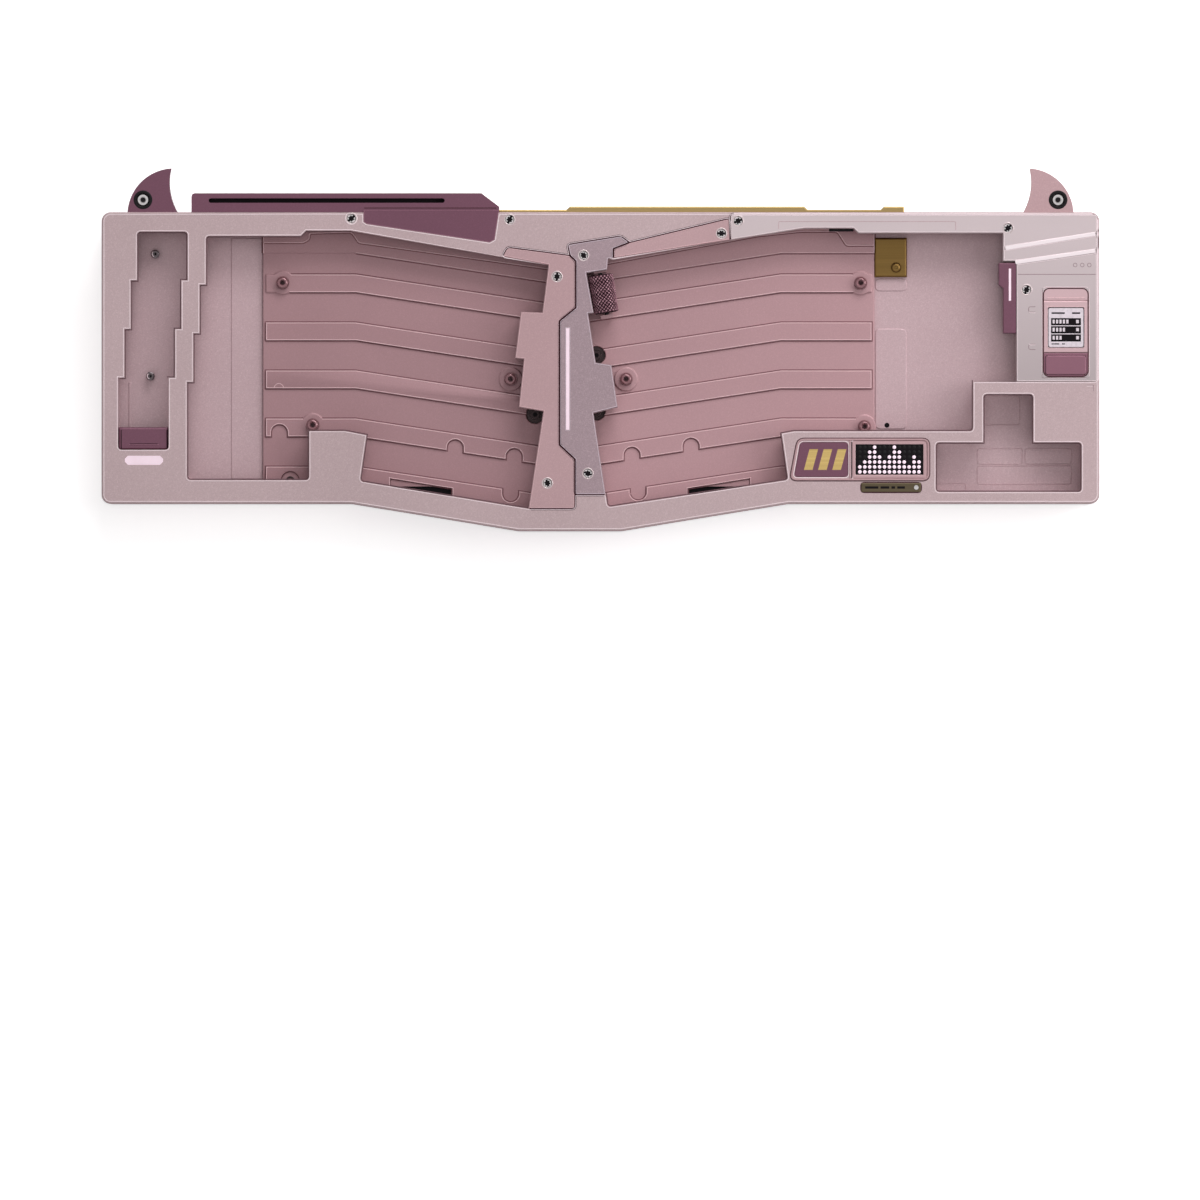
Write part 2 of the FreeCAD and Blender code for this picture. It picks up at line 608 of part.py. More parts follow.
def sketch(body, name, loops, level=0, ground=False, role="XY_Plane", centre=None, turn=None):
    """Sketch of loops and circles, level above its plane, or on a level plane at that height.

    centre moves its zero point in its own axes, and turn turns it about its own upright.
    """
    sk = body.newObject("Sketcher::SketchObject", name)
    sk.AttachmentSupport = [(origin_plane(body, role), "")]
    sk.MapMode = "FlatFace"
    if centre:
        sk.AttachmentOffset = FreeCAD.Placement(V(0, 0, 0), FreeCAD.Rotation(V(0, 1, 0), 1))
        for axis, size in zip("xyz", centre):
            bind(sk, f".AttachmentOffset.Base.{axis}", size)
        bind(sk, ".AttachmentOffset.Rotation.Angle", turn or 0)
    elif ground:
        along, drop = from_ground(0, level)
        sk.AttachmentOffset = FreeCAD.Placement(V(0, 0, 0), FreeCAD.Rotation(V(1, 0, 0), -1))
        bind(sk, ".AttachmentOffset.Base.y", along)
        bind(sk, ".AttachmentOffset.Base.z", drop)
        bind(sk, ".AttachmentOffset.Rotation.Angle", -S.tilt_angle)
    else:
        bind(sk, ".AttachmentOffset.Base.z", level)
    for loop in loops:
        if loop[0] == "circle":
            draw_circle(sk, *loop[1:])
        else:
            draw_loop(sk, loop)
    return sk


def settle(body, feature):
    """Recompute and stop at the first feature that fails."""
    doc.recompute()
    if "Invalid" in feature.State or feature.Shape.isNull():
        raise RuntimeError(f"{body.Label} {feature.Name} failed")
    return feature


def extrude(kind, body, name, loops, length, options, upward):
    both_ways = options.pop("both_ways", False)
    sk = sketch(body, name + "Sketch", loops, **options)
    feature = body.newObject(kind, name)
    feature.Profile = sk
    bind(feature, "Length", length)
    if both_ways:
        feature.Midplane = True
    else:
        feature.Reversed = upward
    return settle(body, feature)


def pad(body, name, loops, length, upward=False, **options):
    """Add material below the sketch, or above it where upward."""
    return extrude("PartDesign::Pad", body, name, loops, length, options, not upward)


def cut(body, name, loops, length, upward=False, **options):
    """Remove material below the sketch, or above it where upward. It must cut something."""
    before = body.Shape.Volume
    feature = extrude("PartDesign::Pocket", body, name, loops, length, options, upward)
    if feature.Shape.Volume > before - 1e-4:
        raise RuntimeError(f"{body.Label} {name} cuts nothing")
    return feature


def upright_edges(feature, where=None, ground=False):
    """Names of the straight edges that stand upright, where their middle passes the test."""
    angle = -S.tilt_angle.value if ground else 0
    axis = FreeCAD.Rotation(V(1, 0, 0), angle).multVec(V(0, 0, 1))
    names = []
    for index, edge in enumerate(feature.Shape.Edges, 1):
        if edge.Curve.TypeId != "Part::GeomLine" or abs(edge.Curve.Direction.dot(axis)) < 0.9999:
            continue
        middle = edge.valueAt((edge.FirstParameter + edge.LastParameter) / 2)
        if where is None or where(middle):
            names.append(f"Edge{index}")
    return names


def level_edges(feature, level, where=None):
    """Names of the edges that lie wholly at this level."""
    names = []
    for index, edge in enumerate(feature.Shape.Edges, 1):
        box = edge.BoundBox
        if abs(box.ZMin - number(level)) > 1e-4 or abs(box.ZMax - number(level)) > 1e-4:
            continue
        if where is None or where(box.Center):
            names.append(f"Edge{index}")
    return names


def dress(kind, body, name, base, edges, path, size):
    feature = body.newObject(kind, name)
    feature.Base = (base, edges)
    bind(feature, path, size)
    return settle(body, feature)


def fillet(body, name, base, edges, radius):
    return dress("PartDesign::Fillet", body, name, base, edges, "Radius", radius)


def chamfer(body, name, base, edges, size):
    return dress("PartDesign::Chamfer", body, name, base, edges, "Size", size)


def rectangle(left, front, right, rear):
    return [(left, front), (right, front), (right, rear), (left, rear)]


def rounded(left, front, right, rear, radius, rear_radius=None):
    """Rectangle with round corners. A rear radius of zero leaves the rear corners square."""
    loop = [
        (left, front + radius, (left + radius, front + radius), 1),
        (left + radius, front),
        (right - radius, front, (right - radius, front + radius), 1),
        (right, front + radius),
    ]
    if rear_radius == 0:
        return loop + [(right, rear), (left, rear)]
    return loop[:3] + [
        (right, front + radius),
        (right, rear - radius, (right - radius, rear - radius), 1),
        (right - radius, rear),
        (left + radius, rear, (left + radius, rear - radius), 1),
        (left, rear - radius),
    ]


def obround(across, along, length, width, along_y=False):
    """Slot with round ends, lying along X, or along Y."""
    radius = width / 2
    reach = length / 2 - radius
    if along_y:
        return [
            (across - radius, along - reach, (across, along - reach), 1),
            (across + radius, along - reach),
            (across + radius, along + reach, (across, along + reach), 1),
            (across - radius, along + reach),
        ]
    return [
        (across - reach, along - radius),
        (across + reach, along - radius, (across + reach, along), 1),
        (across + reach, along + radius),
        (across - reach, along + radius, (across - reach, along), 1),
    ]


def circle(across, along, radius):
    return ("circle", across, along, radius)


def circles(points, radius):
    return [circle(across, along, radius) for across, along in points]


def hexagon(across, along, half_width):
    """Hex socket. half_width is half the distance across its flats."""
    corners = []
    for step in range(6):
        angle = math.radians(60 * step)
        reach = half_width * (2 / math.sqrt(3))
        corners.append((across + reach * round(math.cos(angle), 6),
                        along + reach * round(math.sin(angle), 6)))
    return corners


def case_outline(side=0, rear=0, front=0):
    """Outline of the case, drawn in by the given walls."""
    left = -half + side
    right = half - side
    back = S.rear_edge - rear
    fore = -S.front_edge + front
    tip = -S.front_edge - S.vee_depth + front
    return [
        (left, back), (left, fore), (-S.split_line - S.vee_half, fore),
        (-S.split_line - S.vee_flat_half, tip), (-S.split_line + S.vee_flat_half, tip),
        (-S.split_line + S.vee_half, fore), (right, fore), (right, back),
    ]


def underside(extra=0, reach=80):
    """Everything under the case's level underside, as a profile in the deck's YZ plane."""
    run = S.rise_end - S.rise_start
    radius = (run * run + S.rear_rise * S.rear_rise) / (2 * S.rear_rise)
    base = S.foot_stand + extra
    low = S.foot_stand - S.deck_height * 2
    return [
        from_ground(-reach, low),
        from_ground(reach, low),
        from_ground(reach, base + S.rear_rise),
        from_ground(S.rise_end, base + S.rear_rise) + (from_ground(S.rise_start, base + radius), -1),
        from_ground(S.rise_start, base),
        from_ground(-reach, base),
    ]


def column_opening():
    """Left column: four rows, each shifted from the one behind it."""
    left = [-half + S.left_rim + S.row_stagger * (3 - k) for k in range(4)]
    steps = [S.column_rear - S.row_pitch * k for k in range(4)]
    front = S.column_rear - S.row_pitch * 3 - S.column_last_row
    loop = [(left[0], steps[0]), (left[0], steps[1])]
    for k in (1, 2, 3):
        loop += [(left[k], steps[k]), (left[k], steps[k + 1] if k < 3 else front)]
    for k in (3, 2, 1):
        loop += [(left[k] + S.column_width, front if k == 3 else steps[k + 1]),
                 (left[k] + S.column_width, steps[k])]
    return loop + [(left[0] + S.column_width, steps[1]), (left[0] + S.column_width, steps[0])]


def left_opening():
    """Left key block: stepped on the left, turned with the hand on the right."""
    edge = -half + S.left_rim + S.column_width + S.column_rib
    left = [edge + S.row_stagger * (3 - k) for k in range(4)]
    steps = [S.block_rear - S.row_pitch * k for k in range(4)]
    loop = [(left[0], steps[0]), (left[0], steps[1])]
    for k in (1, 2):
        loop += [(left[k], steps[k]), (left[k], steps[k + 1])]
    loop += [(left[3], steps[3]), (left[3], -S.block_front)]
    return loop + outline("left_front")[::-1] + outline("left_inner")[::-1] + outline("left_rear")[::-1]


def right_opening():
    """Right key block with its bay on the right and the roller's notch on the left."""
    wide = half - S.right_rim
    loop = outline("right_rear") + [
        (wide, outline("right_rear")[-1][1]), (wide, -S.right_block_front),
        (S.bay_right, -S.right_block_front), (S.bay_right, -S.bay_front),
    ]
    return loop + outline("right_front") + outline("right_inner") + outline("roller_notch")


def arrow_opening():
    """Arrow keys: an inverted T."""
    return [
        (S.arrow_left, -S.arrow_front), (S.arrow_right, -S.arrow_front),
        (S.arrow_right, -S.arrow_row_rear), (S.arrow_up_right, -S.arrow_row_rear),
        (S.arrow_up_right, -S.arrow_up_rear), (S.arrow_up_left, -S.arrow_up_rear),
        (S.arrow_up_left, -S.arrow_row_rear), (S.arrow_left, -S.arrow_row_rear),
    ]


def left_panel_outline():
    return outline("left_panel") + outline("left_inner")[1:][::-1] + [outline("left_inner")[0]]


def right_panel_outline():
    left = outline("left_panel")
    border = [left[8], left[7], left[6], left[5], left[4], left[3]]
    corner, inner = outline("right_front")[-1], outline("right_inner")[0]
    fore = -S.mauve_panel_front
    across = corner[0] + (inner[0] - corner[0]) * (fore - corner[1]) / (inner[1] - corner[1])
    return outline("right_panel") + [outline("right_rear")[0]] + outline("roller_notch")[::-1] \
        + outline("right_inner")[::-1] + [(across, fore), (left[8][0], fore)] + border[1:] + [left[2]]


def side_panel_outline():
    rim = S.side_panel_border
    wide = half - S.right_rim
    rear = outline("right_rear")
    return [
        (S.side_panel_left, S.rear_edge - rim), outline("wedge")[3], rear[1], rear[2], rear[3], rear[4],
        rear[5], (wide, rear[5][1]), (wide, -S.right_block_front), (half - rim, -S.right_block_front),
        (half - rim, S.rear_edge - rim),
    ]


def vee_points(shift=0):
    """The four corners of the front V, right to left, drawn back by the shift."""
    fore = -S.front_edge + shift
    tip = fore - S.vee_depth
    return [
        (-S.split_line + S.vee_half, fore), (-S.split_line + S.vee_flat_half, tip),
        (-S.split_line - S.vee_flat_half, tip), (-S.split_line - S.vee_half, fore),
    ]


def lip_strip():
    """Upright strip of the plum lip along the front V."""
    return vee_points(S.lip_strip)[::-1] + vee_points()


def lip_foot():
    """Foot of the lip under the case. Its outer edge lies back where the case leans out."""
    lean = lip_lean()
    return outline("lip") + vee_points(lean)


def lip_lean():
    """How far the front wall's lower edge stands behind its upper edge on the ground axes."""
    return deck_back(-S.front_edge, S.foot_stand) + S.front_edge


def cut_lip_seat(body):
    far = -S.front_edge - S.vee_depth - 6
    strip = vee_points(S.lip_strip)
    cut(body, "LipStripSeat", [strip[::-1] + [(strip[0][0], far), (strip[-1][0], far)]], S.deck_height,
        level=-S.lip_top)
    foot = outline("lip")
    cut(body, "LipFootSeat", [foot + [(foot[-1][0], far), (foot[0][0], far)]], S.lip_foot + OVER,
        level=S.foot_stand - OVER, upward=True, ground=True)


def bumper_leg(extra=0):
    rear = S.bumper_bevel_end + S.bumper_leg_end + extra
    return rounded(-S.bumper_left, S.bumper_front, S.bumper_right, rear, S.bumper_corner, rear_radius=0)


def screw_seats(body, name, points, level, depth, upward=False, ground=False):
    """Counterbores and shank holes for a group of small screws."""
    head = S.screw_head + S.counterbore_gap
    cut(body, name + "Seats", circles(points, head), S.screw_head_height + S.screw_sink,
        level=level, upward=upward, ground=ground)
    cut(body, name + "Holes", circles(points, S.screw_shank + S.screw_gap), depth, level=level,
        upward=upward, ground=ground)


def screws(label, points, level, ground=False, upward=False):
    """Group of small hex socket screws, heads at the given level."""
    body = new_body(label, ground)
    add_screws(body, "", points, level, upward)
    return body


def add_screws(body, name, points, level, upward=False):
    sink = S.screw_sink if upward else -S.screw_sink
    top = level + sink
    drop = S.screw_head_height if upward else -S.screw_head_height
    head = pad(body, name + "Heads", circles(points, S.screw_head), S.screw_head_height, level=top,
               upward=upward)
    chamfer(body, name + "HeadEdges", head, level_edges(head, top), S.screw_head_height * 0.2)
    pad(body, name + "Shanks", circles(points, S.screw_shank), S.screw_length, level=top + drop,
        upward=upward)
    cut(body, name + "Sockets", [hexagon(x, y, S.screw_socket) for x, y in points], S.screw_head_height * 0.7,
        level=top, upward=upward)


def make_top_case():
    body = new_body("top_case")
    shell = pad(body, "Shell", [case_outline()], S.deck_height * 1.5)
    corners = upright_edges(shell, lambda p: abs(p.x) > half.value - 0.01)
    shell = fillet(body, "Corners", shell, corners, S.corner_radius)
    chamfer(body, "DeckEdge", shell, level_edges(shell, 0), S.deck_chamfer)
    inner = case_outline(S.skirt_wall, S.skirt_wall, S.skirt_wall)
    cut(body, "Cavity", [inner], S.deck_height * 1.5, level=-S.bezel_thickness)
    openings = [column_opening(), left_opening(), right_opening(), arrow_opening()]
    cut(body, "Openings", openings, S.bezel_thickness + 1)
    cut(body, "Underside", [underside()], S.case_width * 1.1, role="YZ_Plane", both_ways=True)
    cut_lip_seat(body)
    cut(body, "BumperSeat", [bumper_leg(extra=OVER)], leg_height + OVER, level=S.foot_stand - OVER,
        upward=True, ground=True)
    cut(body, "CentrePanels", [left_panel_outline()], S.panel_thickness)
    cut(body, "MauvePanel", [right_panel_outline()], S.panel_thickness)
    cut(body, "WedgeSeat", [outline("wedge")], S.panel_thickness)
    cut(body, "SidePanelSeat", [side_panel_outline()], S.side_panel_thickness)
    cut(body, "BarWedgeSeat", [outline("bar_wedge")], S.panel_thickness)
    tongues = []
    for side in (-1, 1):
        middle = side * (S.horn_outer + S.horn_inner) / 2
        tongues.append(rectangle(middle - S.horn_tongue_width / 2, -S.horn_tongue_drop - S.horn_tongue_height,
                                 middle + S.horn_tongue_width / 2, -S.horn_tongue_drop))
    cut(body, "TongueSlots", tongues, S.horn_tongue_length, role="XZ_Plane", level=-S.rear_edge, upward=True)
    cut(body, "ModuleSeat", [rounded(S.module_left, -S.module_front, S.module_right, S.module_rear,
                                     S.module_radius)], S.module_seat)
    cut(body, "MatrixSeat", [rectangle(S.matrix_left, -S.matrix_front, S.matrix_right, -S.matrix_rear)],
        S.matrix_seat)
    cut(body, "BadgeSeat", [outline("badge")], S.badge_depth)
    cut(body, "TagSeat", [rectangle(S.tag_left, -S.tag_front, S.tag_right, -S.tag_rear)], S.tag_seat)
    cut(body, "TagRivetHole", [circle(S.tag_right - S.rivet_inset, -(S.tag_rear + S.tag_front) / 2,
                                      S.rivet_radius * 0.6)], S.tag_seat + 2)
    cut(body, "PillSeat", [pill_outline()], S.panel_thickness)
    cut(body, "LightSeats", light_strip_loops(), S.panel_thickness + S.strip_thickness)
    screw_seats(body, "Deck", centres("deck_screw")[:2] + centres("deck_screw")[7:], 0, S.bezel_thickness)
    cut(body, "PanelScrewHoles", circles(centres("deck_screw")[2:7], S.screw_shank + S.screw_gap),
        S.bezel_thickness)
    cut(body, "RollerRoom", [roller_loop(S.bracket_width / 2 + S.roller_slot_gap,
                                         S.axle_length / 2 + S.roller_slot_gap)],
        S.bezel_thickness, level=-S.panel_thickness)
    cut_port(body, "PortHole")


def cut_port(body, name):
    """Hole for the port through the rear walls, along the ground's Y."""
    wide = S.port_width / 2 + S.port_clearance
    tall = S.port_tall / 2 + S.port_clearance
    near = port_rear() - S.port_board_length
    far = S.rear_edge + S.bumper_proud + OVER
    low, high = S.port_height - tall, S.port_height + tall
    loop = [from_ground(near, low), from_ground(far, low), from_ground(far, high), from_ground(near, high)]
    cut(body, name, [loop], wide * 2, role="YZ_Plane", both_ways=True, level=S.port_across)


def pill_outline():
    c = S.pill_chamfer
    left, right, front, rear = -S.pill_left, -S.pill_right, -S.pill_front, -S.pill_rear
    return [(left, front + c), (left + c, front), (right - c, front), (right, front + c),
            (right, rear - c), (right - c, rear), (left + c, rear), (left, rear - c)]


def guide_loop(margin=0):
    return rectangle(-S.guide_left - margin, -S.guide_front - margin,
                     -S.guide_left + S.guide_width + margin, S.guide_rear + margin)


def light_strip_loops():
    """Boards under the centre guide and the pill."""
    m = S.strip_margin
    pill = rectangle(-S.pill_left + m, -S.pill_front + m, -S.pill_right - m, -S.pill_rear - m)
    return [guide_loop(m), pill]


def roller_frame(across, along):
    """Point given along the roller's own axes, as deck X and Y. Its axis runs along Y, turned."""
    s, c = sine(S.roller_turn), cosine(S.roller_turn)
    return S.roller_across + across * c - along * s, S.roller_along + across * s + along * c


def roller_loop(wide, reach):
    return [roller_frame(-wide, -reach), roller_frame(wide, -reach), roller_frame(wide, reach),
            roller_frame(-wide, reach)]


def make_bottom_case():
    body = new_body("bottom_case")
    wall = S.skirt_wall + S.case_gap
    block = pad(body, "Block", [case_outline(wall, wall, wall)], S.deck_height * 1.5,
                level=-S.bezel_thickness)
    corners = upright_edges(block, lambda p: abs(p.x) > half.value - 4)
    fillet(body, "Corners", block, corners, S.corner_radius - wall)
    cavity = case_outline(wall + S.tray_side_wall, wall + S.tray_rear_wall, wall + S.tray_front_wall)
    cut(body, "Cavity", [cavity], S.tray_depth)
    cut(body, "Underside", [underside()], S.case_width * 1.1, role="YZ_Plane", both_ways=True)
    cut_lip_seat(body)
    cut(body, "BumperSeat", [bumper_leg(extra=OVER)], leg_height + OVER, level=S.foot_stand - OVER,
        upward=True, ground=True)
    cut(body, "CoverSeat", [cover_profile(low=OVER)], S.cover_half * 2, role="YZ_Plane", both_ways=True)
    weight = rounded(-S.weight_half, -S.weight_front, S.weight_half, S.weight_rear, S.weight_radius)
    cut(body, "WeightSeat", [weight], S.weight_thickness + OVER, level=S.foot_stand - OVER, upward=True,
        ground=True)
    step = rectangle(-S.cover_half, -S.step_front, S.cover_half, -S.cover_front)
    cut(body, "Step", [step], S.step_depth + OVER, level=S.foot_stand - OVER, upward=True, ground=True)
    cut(body, "FrontFootSeats", [obround(side * S.foot_across, -S.foot_front, S.foot_length, S.foot_width)
                                 for side in (-1, 1)],
        S.foot_seat + OVER, level=S.foot_stand - OVER, upward=True, ground=True)
    cut(body, "LatchCavities", [latch_cavity(side) for side in (-1, 1)],
        S.latch_slot_depth + S.latch_cavity_height, level=S.foot_stand, upward=True, ground=True)
    corners = centres("corner_screw")
    screw_seats(body, "RearCorner", corners[:2], S.foot_stand + S.rear_rise, screw_reach, upward=True,
                ground=True)
    screw_seats(body, "FrontCorner", corners[2:], S.foot_stand, screw_reach, upward=True, ground=True)
    cut(body, "CoverScrewHoles", circles(centres("cover_screw"), S.screw_shank + S.screw_gap), screw_reach,
        level=S.foot_stand, upward=True, ground=True)
    cut(body, "BedScrewHoles", circles(centres("left_recess") + centres("right_recess"),
                                       S.screw_shank + S.screw_gap), 2.0, level=-S.tray_depth)
    cut(body, "Vents", [outline("vent"), vent_right()], 1.2, level=-S.tray_depth)
    cut(body, "PortRoom", [port_room()], S.port_height + S.port_tall / 2 + S.port_clearance - S.foot_stand,
        level=S.foot_stand, upward=True, ground=True)
    cut_port(body, "PortHole")


def vent_right():
    """The right vent is the left one mirrored about the split line."""
    return [(-2 * S.split_line - x, y) for x, y in outline("vent")]


def port_rear():
    """Rear end of the port's board on the underside drawing."""
    return deck_back(S.rear_edge - S.skirt_wall - S.case_gap - S.tray_rear_wall, port_floor)


def port_room():
    wide = S.port_board_width / 2 + S.fit_gap
    front = port_rear() - S.port_board_length - S.fit_gap
    return rectangle(S.port_across - wide, front, S.port_across + wide, port_rear())


def latch_cavity(side):
    across = side * S.latch_across
    wide = S.carrier_width / 2 + S.fit_gap
    rear = S.latch_along + S.carrier_length / 2 + S.bolt_length + S.keeper_length
    front = S.latch_along - S.carrier_length / 2 - S.latch_travel - S.fit_gap
    return rectangle(across - wide, front, across + wide, rear)


def cover_profile(low=0):
    """Section of the rear cover in the deck's YZ plane. low opens it downward for its seat."""
    run = S.rise_end - S.rise_start
    radius = (run * run + S.rear_rise * S.rear_rise) / (2 * S.rear_rise)
    inner = S.foot_stand + S.cover_thickness
    top_line = [
        from_ground(-S.cover_front, inner),
        from_ground(S.rise_start, inner) + (from_ground(S.rise_start, inner + radius), 1),
        from_ground(S.rise_end, inner + S.rear_rise),
    ]
    if low:
        return top_line + [from_ground(S.rise_end, S.foot_stand - low),
                           from_ground(-S.cover_front, S.foot_stand - low)]
    rise_centre = from_ground(S.rise_start, S.foot_stand + radius)
    return top_line + [
        from_ground(S.rise_end, S.foot_stand + S.rear_rise) + (rise_centre, -1),
        from_ground(S.rise_start, S.foot_stand),
        from_ground(-S.cover_front, S.foot_stand),
    ]


def make_rear_cover():
    body = new_body("rear_cover")
    pad(body, "Plate", [cover_profile()], S.cover_half * 2, role="YZ_Plane", both_ways=True)
    cut(body, "BumperNotch", [bumper_leg(extra=OVER)], leg_height + 2 * OVER, level=S.foot_stand - OVER,
        upward=True, ground=True)
    weight = rounded(-S.weight_half, -S.weight_front, S.weight_half, S.weight_rear, S.weight_radius)
    through = S.cover_thickness + 2 * OVER
    cut(body, "WeightNotch", [weight], through, level=S.foot_stand - OVER, upward=True, ground=True)
    cut(body, "LatchSlots", [latch_slot(side) for side in (-1, 1)], through, level=S.foot_stand - OVER,
        upward=True, ground=True)
    cut(body, "RearFootSeats", [obround(side * S.foot_across, S.foot_rear, S.foot_length, S.foot_width)
                                for side in (-1, 1)],
        S.foot_seat + OVER, level=S.foot_stand - OVER, upward=True, ground=True)
    points = centres("cover_screw")
    cut(body, "ScrewSeats", circles(points, S.screw_head + S.counterbore_gap),
        S.screw_head_height + S.screw_sink + OVER, level=S.foot_stand - OVER, upward=True, ground=True)
    cut(body, "ScrewHoles", circles(points, S.screw_shank + S.screw_gap), through,
        level=S.foot_stand - OVER, upward=True, ground=True)
    keepers = []
    slots = []
    for side in (-1, 1):
        across = side * S.latch_across
        rear = S.latch_along + S.carrier_length / 2 + S.bolt_length + S.keeper_length
        keepers.append(rectangle(across - S.keeper_width / 2, rear - S.keeper_length,
                                 across + S.keeper_width / 2, rear))
        slots.append(rectangle(across - S.bolt_width / 2 - S.fit_gap, rear - S.keeper_length,
                               across + S.bolt_width / 2 + S.fit_gap, rear))
    pad(body, "Keepers", keepers, S.keeper_height, level=S.foot_stand + S.cover_thickness, upward=True,
        ground=True)
    cut(body, "BoltSlots", slots, S.carrier_height + 2 * S.fit_gap,
        level=S.foot_stand + S.latch_slot_depth + S.latch_lift - S.fit_gap, upward=True, ground=True)


def latch_slot(side):
    """Slot that the stem slides in, longer than the stem by the travel."""
    across = side * S.latch_across
    wide = S.latch_stem_width / 2 + S.fit_gap
    front = S.latch_along - S.latch_stem_length / 2 - S.latch_travel - S.fit_gap
    rear = S.latch_along + S.latch_stem_length / 2 + S.fit_gap
    return rectangle(across - wide, front, across + wide, rear)


def make_weight():
    body = new_body("weight_plate", ground=True)
    plate = pad(body, "Plate", [rounded(-S.weight_half, -S.weight_front, S.weight_half, S.weight_rear,
                                        S.weight_radius)],
                S.weight_thickness, level=S.foot_stand, upward=True)
    chamfer(body, "Edge", plate, level_edges(plate, S.foot_stand), S.panel_chamfer)
    cut(body, "LatchSlots", [latch_slot(side) for side in (-1, 1)], S.weight_thickness + 1,
        level=S.foot_stand, upward=True)
    cut(body, "InlaySeats", inlay_loops(), S.inlay_thickness + S.inlay_proud, level=S.foot_stand,
        upward=True)

    inlay = new_body("weight_inlay", ground=True)
    bars = pad(inlay, "Bars", inlay_loops(), S.inlay_thickness, level=S.foot_stand + S.inlay_proud,
               upward=True)
    chamfer(inlay, "Edge", bars, level_edges(bars, S.foot_stand + S.inlay_proud), S.panel_chamfer)


def inlay_loops():
    """Slanted bars in the weight plate."""
    loops = []
    for k in range(int(S.inlay_count.value)):
        right = -S.inlay_right + S.inlay_pitch * k
        left = right - S.inlay_bar
        loops.append([(left, -S.inlay_front), (right, -S.inlay_front),
                      (right + S.inlay_slant, S.inlay_rear), (left + S.inlay_slant, S.inlay_rear)])
    return loops


def make_bumper():
    body = new_body("rear_bumper")
    left, right = -S.bumper_left, S.bumper_right
    back = S.rear_edge + S.bumper_proud
    low = back - S.bumper_notch
    slope = S.bumper_notch
    port_left = S.port_across - S.bumper_port_left
    port_right = S.port_across + S.bumper_port_right
    step = -S.split_line
    flange = [
        (left, S.rear_edge), (right, S.rear_edge), (right, back), (port_right, back),
        (port_right - slope, low), (port_left + slope, low), (port_left, back),
        (step, back), (step - slope, low), (left, low),
    ]
    pad(body, "Flange", [flange], S.deck_height, level=-S.bumper_top)
    pad(body, "Leg", [bumper_leg()], leg_height, level=S.foot_stand, upward=True, ground=True)
    far = back + OVER
    below = [
        from_ground(S.bumper_bevel_start, S.foot_stand),
        from_ground(S.bumper_bevel_end, S.foot_stand + S.bumper_bevel_rise),
        from_ground(far, S.foot_stand + S.bumper_bevel_rise),
        from_ground(far, S.foot_stand - S.deck_height),
        from_ground(S.bumper_bevel_start, S.foot_stand - S.deck_height),
    ]
    cut(body, "Bevel", [below], S.case_width, role="YZ_Plane", both_ways=True)
    groove = obround(0, S.bumper_front + S.groove_inset, S.groove_length, S.groove_width)
    cut(body, "Groove", [groove], S.groove_depth, level=S.foot_stand, upward=True, ground=True)
    cut_port(body, "PortHole")


def make_rear_bar():
    body = new_body("rear_bar")
    bar = pad(body, "Bar", [[
        (-S.bar_left, S.rear_edge), (-S.bar_right, S.rear_edge),
        (-S.bar_right, S.rear_edge + S.bar_end_step), (-S.bar_right - S.bar_end_slant, S.bar_rear),
        (-S.bar_left, S.bar_rear)]], S.bar_height, level=-S.bar_drop)
    corner = upright_edges(bar, lambda p: p.x < -S.bar_left.value + 0.1 and p.y > S.rear_edge.value + 0.1)
    fillet(body, "Corner", bar, corner, S.bar_corner)
    slot = obround(-(S.bar_slot_left + S.bar_slot_right) / 2, (S.bar_slot_rear + S.bar_slot_front) / 2,
                   S.bar_slot_left - S.bar_slot_right, S.bar_slot_rear - S.bar_slot_front)
    cut(body, "Slot", [slot], S.bar_height + 1)
    pad(body, "Wedge", [outline("bar_wedge")], S.panel_thickness)

    felt = new_body("felt_strip")
    pad(felt, "Strip", [slot], S.bar_height - S.felt_drop - S.felt_lift, level=-S.bar_drop - S.felt_drop)


def horn_outline(side):
    """Curved horn: an outer arc up to the tip and a hollow inner arc back."""
    outer = (side * S.horn_outer, S.rear_edge)
    inner = (side * S.horn_inner, S.rear_edge)
    tip = (side * S.horn_tip_across, S.horn_tip_along)
    outer_centre = (side * S.horn_tip_across, S.horn_outer_centre)
    inner_centre = (side * S.horn_inner_centre, (S.horn_tip_along + S.rear_edge) / 2)
    return [outer + (outer_centre, side), tip + (inner_centre, -side), inner]


